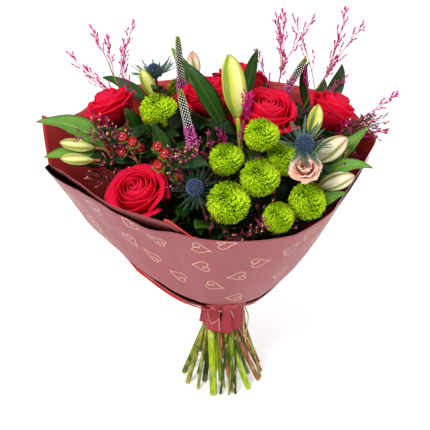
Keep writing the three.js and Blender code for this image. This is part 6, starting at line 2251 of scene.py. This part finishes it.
def dress_tie():
    """The twine's two turns round the collar, with their knot."""
    inside = Bowl.neck + 0.5 * PAPER_THICKNESS + TWINE_GAP
    shell = Shell()
    two_turns(shell, inside, TWINE_RADIUS, 600, TIE_AZIMUTH)
    knot = around(np.array(TIE_AZIMUTH), inside + 2.6, TIE_HEIGHT)
    knot_loops(shell, knot, turn_to(unit(outwards(TIE_AZIMUTH))), 2.1)
    shell.piece("twine_tie_cord", [LOOKS["twine"]], "twine", "twine_tie")


def knot_loops(shell, centre, turn, size):
    """An overhand knot: a trefoil of cord pulled tight."""
    t = np.linspace(0, 2 * math.pi, 140)
    loop = np.stack([np.sin(t) + 2 * np.sin(2 * t), np.cos(t) - 2 * np.cos(2 * t), -1.3 * np.sin(3 * t)], 1)
    twisted(shell, (loop * size / 3) @ turn.T + centre, TWINE_RADIUS * 0.9)


def dress_loose_knot():
    """The knot of the hanging strands, with its two cut ends."""
    shell = Shell()
    knot_loops(shell, LOOSE_KNOT, np.eye(3), 2.0)
    for end in KNOT_ENDS:
        tip = vec(end)
        middle = 0.5 * tip + vec((0.8, 0, 0.5))
        path = smooth_path([LOOSE_KNOT, LOOSE_KNOT + middle, LOOSE_KNOT + tip], 0.5)
        twisted(shell, path, 0.8 * TWINE_RADIUS)
    shell.piece("twine_loose_knot", [LOOKS["twine"]], "twine", "twine_knot")


def dress_string():
    """The binding string round the stems, under the paper."""
    shell = Shell()
    inside = Bowl.neck - 0.5 * PAPER_THICKNESS - SHEET_GAP - 2 * STRING_RADIUS
    two_turns(shell, inside, STRING_RADIUS, 480)
    shell.piece("binding_string_cord", [LOOKS["string"]], "string", "binding_string")


# Stage


def face(thing, way):
    """Turns a camera or a light to look along a way."""
    thing.rotation_mode = "QUATERNION"
    thing.rotation_quaternion = Vector(way).to_track_quat("-Z", "Y")


def make_camera():
    data = bpy.data.cameras.new("camera")
    data.lens = LENS
    data.sensor_width = SENSOR_WIDTH
    camera = add_object("camera", data)
    back = vec((0, -math.cos(CAMERA_ELEVATION), math.sin(CAMERA_ELEVATION)))
    camera.location = Vector((FOCUS + CAMERA_DISTANCE * back) / 1000 + SHIFT)
    face(camera, -back)
    bpy.context.scene.camera = camera


def add_light(name, kind, power, place, target, **options):
    data = bpy.data.lights.new(name, kind)
    data.energy = power
    for option, value in options.items():
        setattr(data, option, value)
    light = add_object(name, data)
    light.location = place
    face(light, Vector(target) - Vector(place))


def make_stage():
    """A white floor, soft light from all sides, a key light and a fill light, and a wide sun from behind."""
    corners = [(-FLOOR_HALF, -FLOOR_HALF, 0), (FLOOR_HALF, -FLOOR_HALF, 0)]
    corners += [(FLOOR_HALF, FLOOR_HALF, 0), (-FLOOR_HALF, FLOOR_HALF, 0)]
    floor = add_object("floor", bpy.data.meshes.new("floor"))
    floor.data.from_pydata(corners, [], [(0, 1, 2, 3)])
    look = Look("floor", 0.8, Emission_Color=WHITE, Emission_Strength=0.4)
    floor.data.materials.append(look.finish(look.mix(look.noise(3.0), "#f4f4f4", "#f7f7f7")))
    world = bpy.data.worlds.new("studio")
    world.use_nodes = True
    background = world.node_tree.nodes["Background"]
    background.inputs["Color"].default_value = WHITE
    background.inputs["Strength"].default_value = 0.24
    bpy.context.scene.world = world
    bpy.context.scene.view_settings.view_transform = "Standard"
    add_light("key_light", "AREA", 30, (-0.8, -1.3, 1.6), LIT_POINT, shape="DISK", size=0.7)
    add_light("fill_light", "AREA", 8, (1.4, -0.7, 0.9), LIT_POINT, shape="DISK", size=1.0)
    add_light("sky_light", "SUN", 1.1, (0, 0, 0), (-0.1, -0.3, -1.0), angle=math.radians(50))


def dress():
    make_camera()
    plants = lay_out()
    heads = Heads(plants)
    for it in plants:
        it["filling"] = filling(it, heads)
        if it["kind"] in MORE_TWIGS:
            count, *sizes = MORE_TWIGS[it["kind"]]
            it["twigs"] = it["twigs"] + more_twigs(it, heads, FEWER_TWIGS.get(it["name"], count), *sizes)
    make_looks()
    dress_loose_knot()
    dress_cords()
    dress_tie()
    dress_string()
    dress_inner_sheet()
    dress_outer_sheet()
    dress_flap()
    dress_lower_fold()
    dress_hearts("wrap_heart_print", HEARTS, outer_point)
    dress_hearts("wrap_back_print", back_hearts(), inner_point)
    print_lines()
    for it in plants:
        dress_plant(it)
    dress_more_stems(plants)
    make_stage()


dress()
